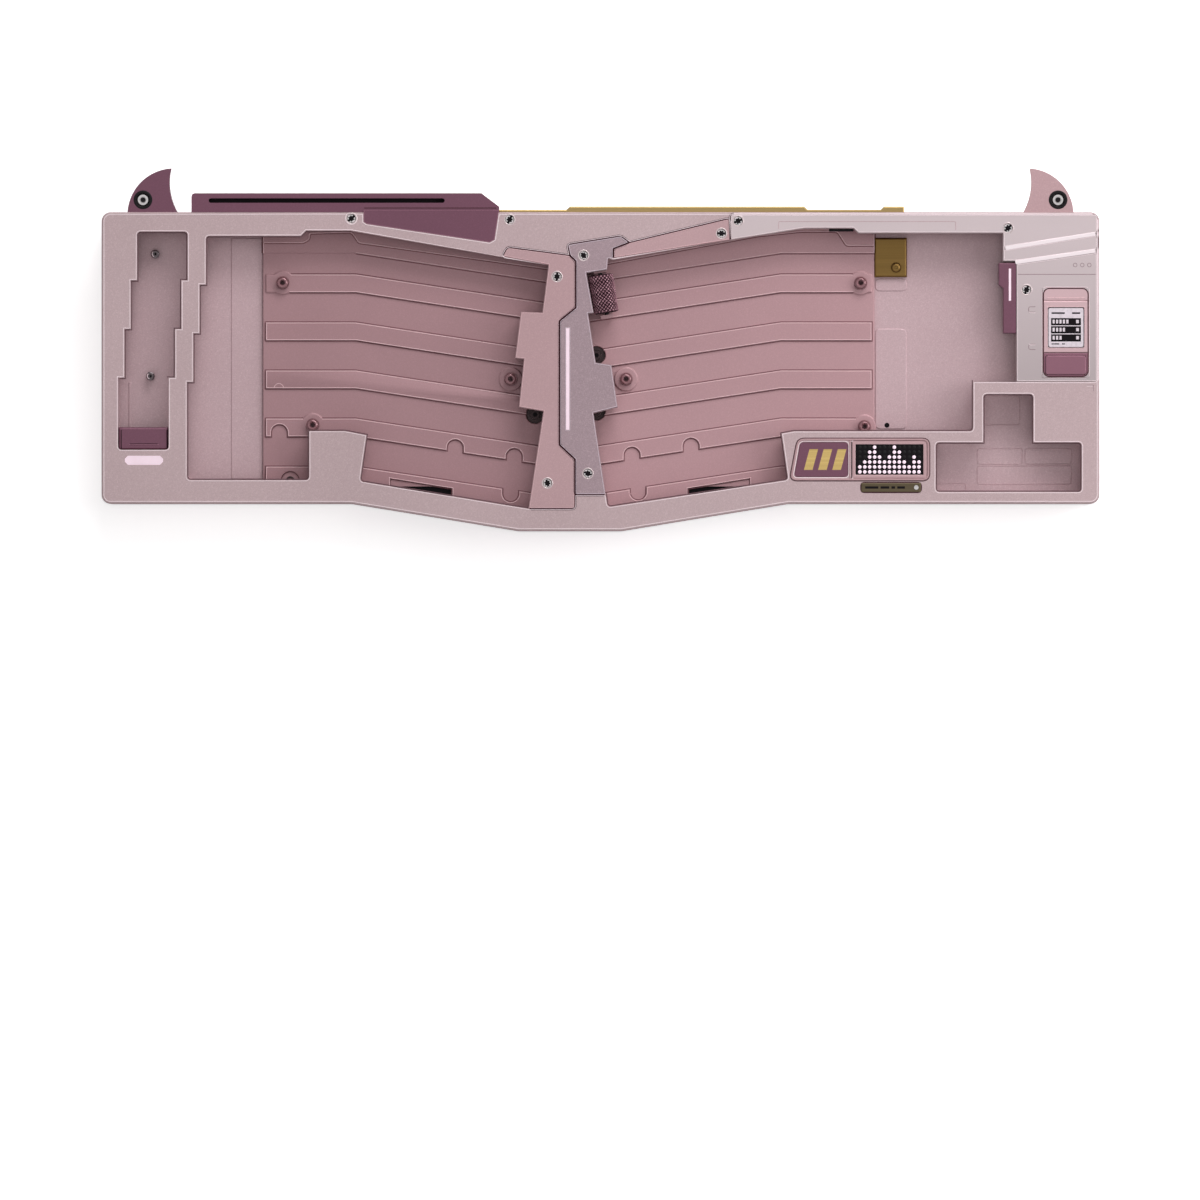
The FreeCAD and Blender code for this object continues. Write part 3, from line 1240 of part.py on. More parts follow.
def make_horns():
    for side, label in ((-1, "horn_left"), (1, "horn_right")):
        body = new_body(label)
        pad(body, "Horn", [horn_outline(side)], S.horn_height, level=-S.horn_drop)
        base = -S.horn_drop - S.horn_height
        tip = -S.horn_drop - S.horn_tip_height
        under = [
            (S.rear_edge + 4, base), (S.horn_tip_along, tip), (S.horn_tip_along + 5, tip),
            (S.horn_tip_along + 5, base - 5), (S.rear_edge + 4, base - 5),
        ]
        cut(body, "Taper", [under], S.case_width * 1.1, role="YZ_Plane", both_ways=True)
        middle = side * (S.horn_outer + S.horn_inner) / 2
        tongue = rectangle(middle - S.horn_tongue_width / 2, S.rear_edge - S.horn_tongue_length,
                           middle + S.horn_tongue_width / 2, S.rear_edge)
        pad(body, "Tongue", [tongue], S.horn_tongue_height, level=-S.horn_tongue_drop)
        spot = (side * S.horn_screw_across, S.horn_screw_along)
        cut(body, "Counterbore", [circle(*spot, S.horn_counterbore)], S.horn_counterbore_depth,
            level=-S.horn_drop)
        cut(body, "Hole", [circle(*spot, S.horn_screw_shank)],
            S.horn_counterbore_depth + S.horn_screw_length, level=-S.horn_drop)
    spots = [(side * S.horn_screw_across, S.horn_screw_along) for side in (-1, 1)]
    body = new_body("horn_screws")
    seat = -S.horn_drop - S.horn_counterbore_depth
    head = pad(body, "Heads", circles(spots, S.horn_screw_head), S.horn_counterbore_depth * 0.8, level=seat,
               upward=True)
    chamfer(body, "HeadEdges", head, level_edges(head, seat + S.horn_counterbore_depth * 0.8), 0.35)
    pad(body, "Shanks", circles(spots, S.horn_screw_shank), S.horn_screw_length, level=seat)
    cut(body, "Sockets", [hexagon(x, y, S.horn_screw_shank) for x, y in spots],
        S.horn_counterbore_depth * 0.5, level=seat + S.horn_counterbore_depth * 0.8)


def make_lip():
    body = new_body("front_lip")
    pad(body, "Strip", [lip_strip()], S.deck_height, level=-S.lip_top)
    cut(body, "Underside", [underside()], S.case_width * 1.1, role="YZ_Plane", both_ways=True)
    pad(body, "Foot", [lip_foot()], S.lip_foot, level=S.foot_stand, upward=True, ground=True)
    scoop = outline("lip_scoop")
    other = [(-2 * S.split_line - x, y) for x, y in scoop]
    cut(body, "Scoops", [scoop, other], S.lip_slot_depth + OVER, level=S.foot_stand - OVER, upward=True,
        ground=True)


def panel(label, loop, thickness, screws_here, extra=None):
    """Inlaid deck panel with counterbored screws."""
    body = new_body(label)
    plate = pad(body, "Plate", [loop], thickness)
    chamfer(body, "Edge", plate, level_edges(plate, 0), S.panel_chamfer)
    if screws_here:
        screw_seats(body, "Screw", screws_here, 0, thickness + 1)
    if extra:
        extra(body)
    return body


def make_panels():
    spots = centres("deck_screw")
    panel("centre_panel_left", left_panel_outline(), S.panel_thickness, spots[2:4])

    def light_slot(body):
        cut(body, "LightSlot", [guide_loop()], S.panel_thickness + 1)

    panel("centre_panel_right", right_panel_outline(), S.panel_thickness, spots[4:6], light_slot)
    panel("wedge_panel", outline("wedge"), S.panel_thickness, spots[6:7])

    def devices(body):
        cut(body, "Module", [rounded(S.module_left, -S.module_front, S.module_right, S.module_rear,
                                     S.module_radius)], S.side_panel_thickness + 1)
        cut(body, "Grooves", [outline("groove_rear"), outline("groove_front")], S.ribbon_depth)

    panel("side_panel", side_panel_outline(), S.side_panel_thickness, spots[7:], devices)
    screws("deck_screws", spots, 0)


def make_under_screws():
    corners = centres("corner_screw")
    body = screws("corner_screws", corners[2:], S.foot_stand, ground=True, upward=True)
    add_screws(body, "Rear", corners[:2], S.foot_stand + S.rear_rise, upward=True)
    screws("cover_screws", centres("cover_screw"), S.foot_stand, ground=True, upward=True)


def rib_loops(edge, bend, inner, side):
    """Five ribs that bend towards the split. side is 1 where the split is on the right."""
    drop = (inner - bend) * side * tangent(S.alice_angle)
    end = edge + side * S.rib_inset
    loops = []
    for k in range(5):
        rear = S.rib_rear - S.rib_pitch * k
        front = rear - S.rib_width
        loops.append([(end, rear), (bend, rear), (inner, rear - drop), (inner, front - drop),
                      (bend, front), (end, front)])
    return loops


def make_bed(label, edge, bend, inner, side, standoffs, recesses, notches, vent):
    body = new_body(label)
    front = -S.front_edge + S.skirt_wall + S.case_gap + S.tray_front_wall + S.bed_front_gap
    start = -S.split_line - S.vee_half if side > 0 else -S.split_line + S.vee_half
    flat = -S.split_line - S.vee_flat_half if side > 0 else -S.split_line + S.vee_flat_half
    floor = -S.tray_depth + S.bed_thickness
    loop = [(edge, S.bed_rear), (edge, front), (start, front), (flat, front - S.vee_depth),
            (inner, front - S.vee_depth), (inner, S.bed_rear)]
    pad(body, "Plate", [loop], S.bed_thickness, level=floor)
    pad(body, "Ribs", rib_loops(edge, bend, inner, side), S.bed_rib, level=floor, upward=True)
    drop = (inner - bend) * side * tangent(S.alice_angle)
    rear = S.rib_rear + S.bed_step
    back = [(edge, rear), (bend, rear), (inner, rear - drop), (inner, S.bed_rear), (edge, S.bed_rear)]
    pad(body, "RearStep", [back], S.bed_rib, level=floor, upward=True)
    cut(body, "Notches", [obround(x, y, S.notch_length, S.notch_width, along_y=True) for x, y in notches],
        S.bed_rib, level=floor + S.bed_rib)
    pad(body, "Bosses", circles(standoffs, S.boss_radius), S.bed_rib, level=floor, upward=True)
    cut(body, "StandoffSeats", circles(standoffs, S.standoff_radius), S.bed_thickness * 0.5 + S.bed_rib,
        level=floor + S.bed_rib)
    cut(body, "Recesses", circles(recesses, S.recess_radius), S.bed_rib + S.bed_thickness * 0.5,
        level=floor + S.bed_rib)
    cut(body, "ScrewHoles", circles(recesses, S.screw_shank), S.bed_rib + S.bed_thickness,
        level=floor + S.bed_rib)
    cut(body, "Vent", [vent], S.bed_thickness + S.bed_rib + 1, level=floor + S.bed_rib)


def make_beds():
    make_bed("key_bed_left", -S.left_bed_left, -S.left_bend, -S.split_line - S.bed_split, 1,
             centres("left_standoff"), centres("left_recess"), centres("left_notch"), outline("vent"))
    make_bed("key_bed_right", S.right_bed_right, S.right_bend, -S.split_line + S.bed_split, -1,
             centres("right_standoff"), centres("right_recess"), centres("right_notch"), vent_right())
    floor = -S.tray_depth + S.bed_thickness
    spots = centres("left_standoff") + centres("right_standoff")
    body = new_body("standoffs")
    pad(body, "Posts", circles(spots, S.standoff_radius), S.standoff_height + S.bed_thickness * 0.5,
        level=floor - S.bed_thickness * 0.5, upward=True)
    cut(body, "Threads", circles(spots, S.standoff_bore), S.standoff_height + S.bed_thickness * 0.5,
        level=floor + S.standoff_height)

    spots = centres("left_recess") + centres("right_recess")
    seat = floor - S.bed_thickness * 0.5
    body = new_body("bed_screws")
    pad(body, "Heads", circles(spots, S.screw_head), S.screw_head_height, level=seat, upward=True)
    pad(body, "Shanks", circles(spots, S.screw_shank), S.bed_thickness * 0.5 + S.bed_screw_length,
        level=seat)
    cut(body, "Sockets", [hexagon(x, y, S.screw_socket) for x, y in spots], S.screw_head_height * 0.7,
        level=seat + S.screw_head_height)


def make_feet():
    body = new_body("feet", ground=True)
    loops = [obround(side * S.foot_across, along, S.foot_length, S.foot_width)
             for side in (-1, 1) for along in (S.foot_rear, -S.foot_front)]
    pad(body, "Feet", loops, S.foot_stand + S.foot_seat, level=0, upward=True)
    chamfer(body, "Edge", body.Tip, level_edges(body.Tip, 0), S.panel_chamfer * 2)


def make_latches():
    for side, name in ((-1, "left"), (1, "right")):
        body = new_body(f"latch_{name}", ground=True)
        across = side * S.latch_across
        top = S.foot_stand - S.latch_lift
        plan = obround(across, S.latch_along, S.latch_length, S.latch_width, along_y=True)
        flange = pad(body, "Flange", [plan], S.latch_flange, level=top)
        low = top - S.latch_flange
        chamfer(body, "Edge", flange, level_edges(flange, low), S.panel_chamfer)
        thumb = obround(across, S.latch_along, S.latch_pad_length, S.latch_pad_width, along_y=True)
        cut(body, "Pad", [thumb], S.latch_pad_depth, level=low, upward=True)
        stem = rectangle(across - S.latch_stem_width / 2, S.latch_along - S.latch_stem_length / 2,
                         across + S.latch_stem_width / 2, S.latch_along + S.latch_stem_length / 2)
        pad(body, "Stem", [stem], S.latch_slot_depth + S.latch_lift * 2, level=top, upward=True)

        carrier = new_body(f"latch_bolt_{name}", ground=True)
        base = top + S.latch_slot_depth + S.latch_lift * 2
        plate = rectangle(across - S.carrier_width / 2, S.latch_along - S.carrier_length / 2,
                          across + S.carrier_width / 2, S.latch_along + S.carrier_length / 2)
        pad(carrier, "Plate", [plate], S.carrier_height, level=base, upward=True)
        rear = S.latch_along + S.carrier_length / 2
        bolt = rectangle(across - S.bolt_width / 2, rear - S.bolt_root, across + S.bolt_width / 2,
                         rear + S.bolt_length + S.bolt_reach)
        pad(carrier, "Bolt", [bolt], S.carrier_height, level=base, upward=True)


def make_display():
    left, right = S.module_left, S.module_right
    body = new_body("display_frame")
    top = S.module_proud
    frame = pad(body, "Frame", [rounded(left, -S.module_front, right, S.module_rear, S.module_radius)],
                S.module_frame + S.module_proud, level=top)
    chamfer(body, "Edge", frame, level_edges(frame, top), S.panel_chamfer)
    screen = rectangle(S.screen_left, S.screen_front, S.screen_right, S.screen_rear)
    cut(body, "Window", [screen], S.module_frame + 1, level=top)
    button = rounded(left + S.button_margin, -S.button_front, right - S.button_margin, -S.button_rear,
                     S.button_radius)
    cut(body, "ButtonHole", [button], S.module_frame + 1, level=top)
    cut(body, "CapLine", [rectangle(left, S.cap_line_front, right, S.cap_line_rear)], S.cap_line_depth,
        level=top)

    glass = new_body("display_glass")
    pad(glass, "Glass", [screen], S.glass_thickness, level=top - S.glass_sink)
    lcd = new_body("display_panel")
    pad(lcd, "Panel", [screen], S.module_frame + top - S.glass_sink - S.glass_thickness,
        level=top - S.glass_sink - S.glass_thickness)
    board = new_body("display_board")
    pad(board, "Board", [rounded(left + S.fit_gap, -S.module_front + S.fit_gap, right - S.fit_gap,
                                 S.module_rear - S.fit_gap, S.module_radius)],
        S.module_seat - S.module_frame - S.button_travel - S.button_switch_height,
        level=-S.module_seat, upward=True)
    middle = ((left + right) / 2, -(S.button_rear + S.button_front) / 2)
    board_top = -S.module_frame - S.button_travel - S.button_switch_height
    stilts = []
    for front, width in ((S.screen_rear + S.rear_stilt_gap, S.rear_stilt),
                         (-S.button_rear + S.front_stilt_gap, S.front_stilt)):
        stilts.append(rectangle(left + S.stilt_inset, front, right - S.stilt_inset, front + width))
    pad(board, "Stilts", stilts, S.button_travel + S.button_switch_height, level=board_top, upward=True)

    push = new_body("display_button")
    gap = S.fit_gap
    cap = rounded(left + S.button_margin + gap, -S.button_front + gap, right - S.button_margin - gap,
                  -S.button_rear - gap, S.button_radius - gap)
    button_top = S.module_proud + S.button_proud
    pad(push, "Cap", [cap], S.button_height, level=button_top)
    chamfer(push, "Edge", push.Tip, level_edges(push.Tip, button_top), S.panel_chamfer)
    stem_length = button_top - S.button_height - board_top - S.button_switch_height - S.button_slack \
        - S.button_travel
    pad(push, "Stem", [circle(*middle, S.button_stem)], stem_length, level=button_top - S.button_height)
    pad(board, "Switch", [circle(*middle, S.button_switch)], S.button_switch_height, level=board_top,
        upward=True)


def make_matrix():
    frame_loop = rectangle(S.matrix_left, -S.matrix_front, S.matrix_right, -S.matrix_rear)
    w = S.matrix_frame_width
    window = rectangle(S.matrix_left + w, -S.matrix_front + w, S.matrix_right - w, -S.matrix_rear - w)
    frame = new_body("matrix_frame")
    pad(frame, "Frame", [frame_loop], S.matrix_frame_height)
    chamfer(frame, "Edge", frame.Tip, level_edges(frame.Tip, 0), S.panel_chamfer)
    cut(frame, "Window", [window], S.matrix_frame_height + 1)
    lens = new_body("matrix_lens")
    pad(lens, "Lens", [window], S.matrix_lens_height, level=-S.matrix_lens_sink)
    board = new_body("matrix_board")
    room = S.dot_height + S.dot_gap
    pad(board, "Board", [frame_loop], S.matrix_seat - S.matrix_frame_height - room, level=-S.matrix_seat,
        upward=True)
    base = -S.matrix_frame_height - room
    rim = [rectangle(S.matrix_left, -S.matrix_front, S.matrix_left + w, -S.matrix_rear),
           rectangle(S.matrix_right - w, -S.matrix_front, S.matrix_right, -S.matrix_rear)]
    pad(board, "Rim", rim, room, level=base, upward=True)
    dots = new_body("matrix_dots")
    columns, rows = int(S.dot_columns.value), int(S.dot_rows.value)
    across = (S.matrix_left + S.matrix_right) / 2 - S.dot_pitch * ((columns - 1) / 2)
    along = -(S.matrix_rear + S.matrix_front) / 2 - S.dot_pitch * ((rows - 1) / 2)
    grid = [circle(across + S.dot_pitch * i, along + S.dot_pitch * j, S.dot_radius)
            for i in range(columns) for j in range(rows)]
    pad(dots, "Dots", grid, S.dot_height, level=base, upward=True)


def make_badge():
    plate = new_body("badge_plate")
    pad(plate, "Plate", [outline("badge")], S.badge_depth)
    chamfer(plate, "Edge", plate.Tip, level_edges(plate.Tip, 0), S.panel_chamfer)
    bars = []
    for k in range(3):
        left = S.badge_bar_left + S.badge_bar_pitch * k
        right = left + S.badge_bar_width
        bars.append([(left, -S.badge_bar_front), (right, -S.badge_bar_front),
                     (right + S.badge_bar_slant, -S.badge_bar_rear),
                     (left + S.badge_bar_slant, -S.badge_bar_rear)])
    cut(plate, "BarSeats", bars, S.badge_inlay)
    inlay = new_body("badge_inlay")
    pad(inlay, "Bars", bars, S.badge_inlay)

    tag = new_body("bronze_tag")
    tag_top = S.tag_thickness - S.tag_seat
    pad(tag, "Plate", [rectangle(S.tag_left, -S.tag_front, S.tag_right, -S.tag_rear)], S.tag_thickness,
        level=tag_top)
    chamfer(tag, "Edge", tag.Tip, level_edges(tag.Tip, tag_top), S.panel_chamfer)
    spot = (S.tag_right - S.rivet_inset, -(S.tag_rear + S.tag_front) / 2)
    cut(tag, "RivetHole", [circle(*spot, S.rivet_radius * 0.6)], S.tag_thickness + 1, level=tag_top)
    rivet = new_body("tag_rivet")
    pad(rivet, "Head", [circle(*spot, S.rivet_radius)], S.rivet_head, level=tag_top, upward=True)
    pad(rivet, "Shank", [circle(*spot, S.rivet_radius * 0.6)], S.tag_thickness + S.rivet_reach,
        level=tag_top)


def make_lights():
    guide = new_body("centre_light")
    pad(guide, "Guide", [guide_loop()], S.panel_thickness)
    pill = new_body("pill_light")
    pad(pill, "Guide", [pill_outline()], S.panel_thickness)
    strips = new_body("light_strips")
    pad(strips, "Boards", light_strip_loops(), S.strip_thickness, level=-S.panel_thickness)

    bar = new_body("side_bar")
    wide = half - S.right_rim
    loop = [
        (S.side_bar_left, S.side_bar_rear), (S.side_bar_left, S.side_bar_middle),
        (S.side_bar_step, S.side_bar_middle - S.side_bar_slant), (S.side_bar_step, S.side_bar_front),
        (wide, S.side_bar_front), (wide, S.side_bar_rear),
    ]
    pad(bar, "Bar", [loop], S.bezel_thickness - S.side_bar_drop, level=-S.side_bar_drop)
    chamfer(bar, "Edge", bar.Tip, level_edges(bar.Tip, -S.side_bar_drop), S.panel_chamfer)
    line = rectangle(S.side_guide_left, S.side_guide_front, S.side_guide_left + S.side_guide_width,
                     S.side_guide_rear)
    cut(bar, "LightSlot", [line], S.panel_thickness)
    guide = new_body("side_light")
    pad(guide, "Guide", [line], S.panel_thickness - S.side_bar_drop, level=-S.side_bar_drop)


def make_column():
    left = -half + S.left_rim
    front = S.column_rear - S.row_pitch * 3 - S.column_last_row
    gap = S.fit_gap
    body = new_body("column_button")
    loop = rectangle(left + gap, front + gap, left + S.column_width - gap,
                     front + S.column_button_length)
    pad(body, "Cap", [loop], S.column_button_height, level=-S.column_button_drop)
    chamfer(body, "Edge", body.Tip, level_edges(body.Tip, -S.column_button_drop), S.column_button_chamfer)
    line = rectangle(left + S.column_line_inset, front + S.column_line_front,
                     left + S.column_width - S.column_line_inset,
                     front + S.column_line_front + S.column_line_width)
    cut(body, "Line", [line], S.column_line_depth, level=-S.column_button_drop)
    middle = (left + S.column_width / 2, front + S.column_button_length / 2)
    switch = new_body("column_switch")
    base = -S.tray_depth
    pad(switch, "Body", [rectangle(middle[0] - S.switch_width / 2, middle[1] - S.switch_length / 2,
                                   middle[0] + S.switch_width / 2, middle[1] + S.switch_length / 2)],
        S.switch_height, level=base, upward=True)
    cap_base = -S.column_button_drop - S.column_button_height
    plunger = cap_base - base - S.switch_height - S.column_button_travel - S.plunger_gap
    pad(switch, "Plunger", [circle(*middle, S.plunger_radius)], plunger, level=base + S.switch_height,
        upward=True)
    spring = new_body("column_spring")
    length = plunger + S.column_button_travel + S.plunger_gap
    coil = sketch(spring, "WireSketch", [circle(S.spring_radius, S.spring_wire, S.spring_wire)],
                  role="XZ_Plane", centre=(middle[0], base + S.switch_height, -middle[1]))
    wire = spring.newObject("PartDesign::AdditiveHelix", "Coil")
    wire.Profile = coil
    wire.ReferenceAxis = (coil, ["V_Axis"])
    wire.Mode = "height-turns-angle"
    bind(wire, "Height", length - 2 * S.spring_wire)
    bind(wire, "Turns", S.spring_turns)
    settle(spring, wire)

    posts = new_body("column_posts")
    pad(posts, "Posts", circles(centres("column_post"), S.post_radius), S.post_height, level=base,
        upward=True)
    fillet(posts, "Domes", posts.Tip, level_edges(posts.Tip, base + S.post_height), S.post_radius * 0.7)


def make_roller():
    """Knurled roller, its axle and the bracket with two ears that carries it."""
    centre = (S.roller_across, -S.roller_drop, -S.roller_along)
    spot = {"role": "XZ_Plane", "centre": centre, "turn": S.roller_turn}
    teeth = int(S.roller_teeth.value)
    rim = []
    for k in range(teeth * 2):
        reach = S.roller_radius - (S.roller_knurl if k % 2 else 0)
        angle = math.pi * k / teeth
        rim.append((reach * round(math.cos(angle), 6), reach * round(math.sin(angle), 6)))
    roller = new_body("roller")
    pad(roller, "Barrel", [rim, circle(0, 0, S.roller_bore)], S.roller_length, both_ways=True, **spot)
    axle = new_body("roller_axle")
    pad(axle, "Axle", [circle(0, 0, S.axle_radius)], S.axle_length, both_ways=True, **spot)

    bracket = new_body("roller_bracket")
    reach = S.axle_length / 2
    wide = S.bracket_width / 2
    floor = -S.tray_depth + S.bed_thickness + S.bed_rib
    top = -S.panel_thickness - 0.1
    ears = []
    for side in (-1, 1):
        near, far = side * (reach - S.bracket_thickness), side * reach
        ears.append([roller_frame(side * wide, near), roller_frame(side * wide, far),
                     roller_frame(-side * wide, far), roller_frame(-side * wide, near)])
    pad(bracket, "Ears", ears, top - floor, level=top)
    pad(bracket, "Base", [roller_loop(wide, reach)], S.bracket_thickness * 0.8, level=floor, upward=True)
    cut(bracket, "Bores", [circle(0, 0, S.axle_radius)], S.axle_length + 1, both_ways=True, **spot)


def make_port():
    """Port behind the rear wall, with its board on the bumper's leg."""
    left = S.port_across - S.port_board_width / 2
    right = S.port_across + S.port_board_width / 2
    board = new_body("port_board", ground=True)
    pad(board, "Board", [rectangle(left, port_rear() - S.port_board_length, right, port_rear())],
        S.board_thickness, level=port_floor, upward=True)
    port = new_body("port", ground=True)
    end = deck_back(S.rear_edge, S.port_height) - S.port_sink
    outer = obround(S.port_across, S.port_height, S.port_width, S.port_tall)
    inner = obround(S.port_across, S.port_height, S.port_width - 2 * S.port_wall,
                    S.port_tall - 2 * S.port_wall)
    depth = end - port_rear() + S.port_tail
    pad(port, "Shell", [outer], depth, level=-end, role="XZ_Plane", upward=True)
    cut(port, "Mouth", [inner], depth - S.port_back, level=-end, role="XZ_Plane", upward=True)
    wide, tall = S.port_tongue_width / 2, S.port_tongue_height / 2
    tongue = rectangle(S.port_across - wide, S.port_height - tall, S.port_across + wide, S.port_height + tall)
    pad(port, "Tongue", [tongue], depth - S.port_tongue_sink, level=-end + S.port_tongue_sink,
        role="XZ_Plane", upward=True)

    tab = new_body("corner_tab")
    pad(tab, "Tab", [rectangle(S.tab_left, S.tab_front, S.tab_right, S.tab_rear)], S.tab_thickness,
        level=-S.tray_depth, upward=True)
    chamfer(tab, "Edge", tab.Tip, level_edges(tab.Tip, -S.tray_depth + S.tab_thickness), S.tab_chamfer)


makers = [make_top_case, make_bottom_case, make_rear_cover, make_weight, make_bumper, make_rear_bar,
          make_horns, make_lip, make_panels, make_under_screws, make_beds, make_feet, make_latches,
          make_display, make_matrix, make_badge, make_lights, make_column, make_roller, make_port]
for make in makers:
    make()
    print(make.__name__, flush=True)

doc.recompute()


def check(obj):
    """Stop where an object failed or a sub-part has no sound solid."""
    state = " ".join(obj.State)
    if "Invalid" in state or "Error" in state:
        raise RuntimeError(f"{obj.Name} is {state}")


for obj in doc.Objects:
    check(obj)
os.makedirs("parts", exist_ok=True)
for body in bodies:
    shape = body.Shape
    if shape.isNull() or not shape.isValid() or not shape.Solids:
        raise RuntimeError(f"{body.Label} has no sound solid")
    shape.exportStep(f"parts/{body.Label}.step")
    print(body.Label, len(shape.Solids), round(shape.Volume / 1000, 2), "cm3")
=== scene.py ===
"""Looks of the angled ergonomic keyboard: a bare split-angle case kit seen straight onto its deck.

Places are written in millimetres on the deck: X to the right, Y to the rear and Z out of the deck,
with zero in the middle of the top face. deck() turns them into the frame's metres. beneath() does the
same for the level underside, where Z runs down to the table.
"""
from math import copysign, cos, dist, radians, sin, tau

import bmesh
import bpy
from mathutils import Matrix, Vector


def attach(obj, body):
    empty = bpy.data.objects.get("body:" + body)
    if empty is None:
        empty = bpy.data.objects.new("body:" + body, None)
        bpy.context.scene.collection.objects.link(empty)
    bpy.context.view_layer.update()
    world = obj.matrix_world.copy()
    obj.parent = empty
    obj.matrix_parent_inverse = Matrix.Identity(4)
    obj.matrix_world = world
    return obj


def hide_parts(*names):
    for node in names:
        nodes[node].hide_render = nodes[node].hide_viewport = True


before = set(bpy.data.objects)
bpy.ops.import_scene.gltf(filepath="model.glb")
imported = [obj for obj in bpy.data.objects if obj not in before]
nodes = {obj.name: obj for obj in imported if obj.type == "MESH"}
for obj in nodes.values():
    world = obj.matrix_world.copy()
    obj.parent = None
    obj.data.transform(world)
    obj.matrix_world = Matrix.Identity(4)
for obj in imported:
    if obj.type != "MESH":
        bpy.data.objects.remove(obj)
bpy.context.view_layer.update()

MM = 0.001
TILT = radians(6.0)
DECK_HEIGHT = 26.0
DECK_SHIFT = -0.256
UNDER_SHIFT = 1.9
FOOT_STAND = 1.6
PHOTO_SIDE = 1200
PIXELS_PER_MM = 2.53
PHOTO_CENTRE = (600.5, 350.0)

ACROSS = Vector((1, 0, 0))
ALONG = Vector((0, cos(TILT), sin(TILT)))
OUT = Vector((0, -sin(TILT), cos(TILT)))
DECK_ZERO = Vector((0, DECK_SHIFT, DECK_HEIGHT)) * MM


def deck(x, y, z=0.0):
    """Point on the deck's axes, in the frame's metres."""
    return DECK_ZERO + (ACROSS * x + ALONG * y + OUT * z) * MM


def beneath(x, y, z=0.0):
    """Point on the underside's axes, in the frame's metres."""
    return Vector((x, y + UNDER_SHIFT + DECK_SHIFT, FOOT_STAND - z)) * MM


def linear(channel):
    channel /= 255
    return channel / 12.92 if channel <= 0.04045 else ((channel + 0.055) / 1.055) ** 2.4


def colour(red, green, blue):
    """Screen colour as the renderer's linear colour."""
    return linear(red), linear(green), linear(blue), 1.0


def fill(node, **values):
    """Set the inputs of a node. An underscore stands for a space in their names."""
    for key, value in values.items():
        node.inputs[key.replace("_", " ")].default_value = value


MATERIALS = {}


class Nodes:
    """Node tree of a new material, which is put into MATERIALS."""

    def __init__(self, name):
        material = MATERIALS[name] = bpy.data.materials.new(name)
        material.use_nodes = True
        self.tree = material.node_tree
        self.shader = self.tree.nodes["Principled BSDF"]
        self.place = self.add("ShaderNodeTexCoord").outputs["Object"]

    def add(self, kind, **values):
        node = self.tree.nodes.new(kind)
        for key, value in values.items():
            setattr(node, key, value)
        return node

    def join(self, source, target):
        self.tree.links.new(source, target)

    def feed(self, socket, source):
        """Join a value to one of the shader's sockets."""
        self.join(source, self.shader.inputs[socket])

    def placed(self, node, place=None):
        """Give a texture or a vector node its place in the material."""
        self.join(place or self.place, node.inputs["Vector"])
        return node.outputs

    def noise(self, scale, detail=2.0, roughness=0.5, stretch=None):
        place = self.place
        if stretch:
            mapping = self.add("ShaderNodeMapping")
            fill(mapping, Scale=stretch)
            place = self.placed(mapping)["Vector"]
        node = self.add("ShaderNodeTexNoise")
        fill(node, Scale=scale, Detail=detail, Roughness=roughness)
        return self.placed(node, place)["Fac"]

    def ramp(self, source, dark=0.0, bright=1.0, low=0.3, high=0.7):
        """Spread a value's stretch from low to high over dark to bright."""
        node = self.add("ShaderNodeMapRange")
        fill(node, From_Min=low, From_Max=high, To_Min=dark, To_Max=bright)
        self.join(source, node.inputs["Value"])
        return node.outputs["Result"]

    def mix(self, factor, first, second, blend="MIX"):
        node = self.add("ShaderNodeMix", data_type="RGBA", blend_type=blend)
        for index, value in ((0, factor), (6, first), (7, second)):
            if isinstance(value, (int, float, tuple)):
                node.inputs[index].default_value = value
            else:
                self.join(value, node.inputs[index])
        return node.outputs[2]

    def bump(self, source, strength, distance):
        node = self.add("ShaderNodeBump")
        fill(node, Strength=strength, Distance=distance)
        self.join(source, node.inputs["Height"])
        self.feed("Normal", node.outputs["Normal"])


def shade(tint, factor):
    """A tint made lighter or darker, as the renderer's colour."""
    return colour(*(min(255, channel * factor) for channel in tint))


def painted(name, tint, roughness=0.42, metallic=0.35, sparkle=0.16, grain=0.5, coat=0.0, front_shade=1.0):
    """Blasted, lightly metallic paint: fine sparkling grain over a soft large variation.

    The last argument is painted shade: how dark it gets towards the front.
    """
    n = Nodes(name)
    base = n.mix(n.ramp(n.noise(14.0, 3.0)), shade(tint, 0.975), shade(tint, 1.02))
    flakes = n.add("ShaderNodeTexVoronoi")
    fill(flakes, Scale=2600.0)
    glint = n.ramp(n.placed(flakes)["Color"], 0.0, sparkle, low=0.55, high=1.0)
    base = n.mix(glint, base, shade(tint, 1.42))
    fine = n.noise(2200.0)
    base = n.mix(n.ramp(fine, 0.0, sparkle, low=0.35, high=0.65), base, shade(tint, 0.7))
    # Painted shade: the colour darkens towards the front.
    if front_shade < 1.0:
        along = n.placed(n.add("ShaderNodeSeparateXYZ"))["Y"]
        base = n.mix(n.ramp(along, low=0.045, high=-0.01), base, shade(tint, front_shade))
    n.feed("Base Color", base)
    n.feed("Roughness", n.ramp(fine, roughness - 0.06, roughness + 0.08))
    n.bump(fine, grain * 0.25, 0.00004)
    fill(n.shader, Metallic=metallic, Coat_Weight=coat, Coat_Roughness=0.12)


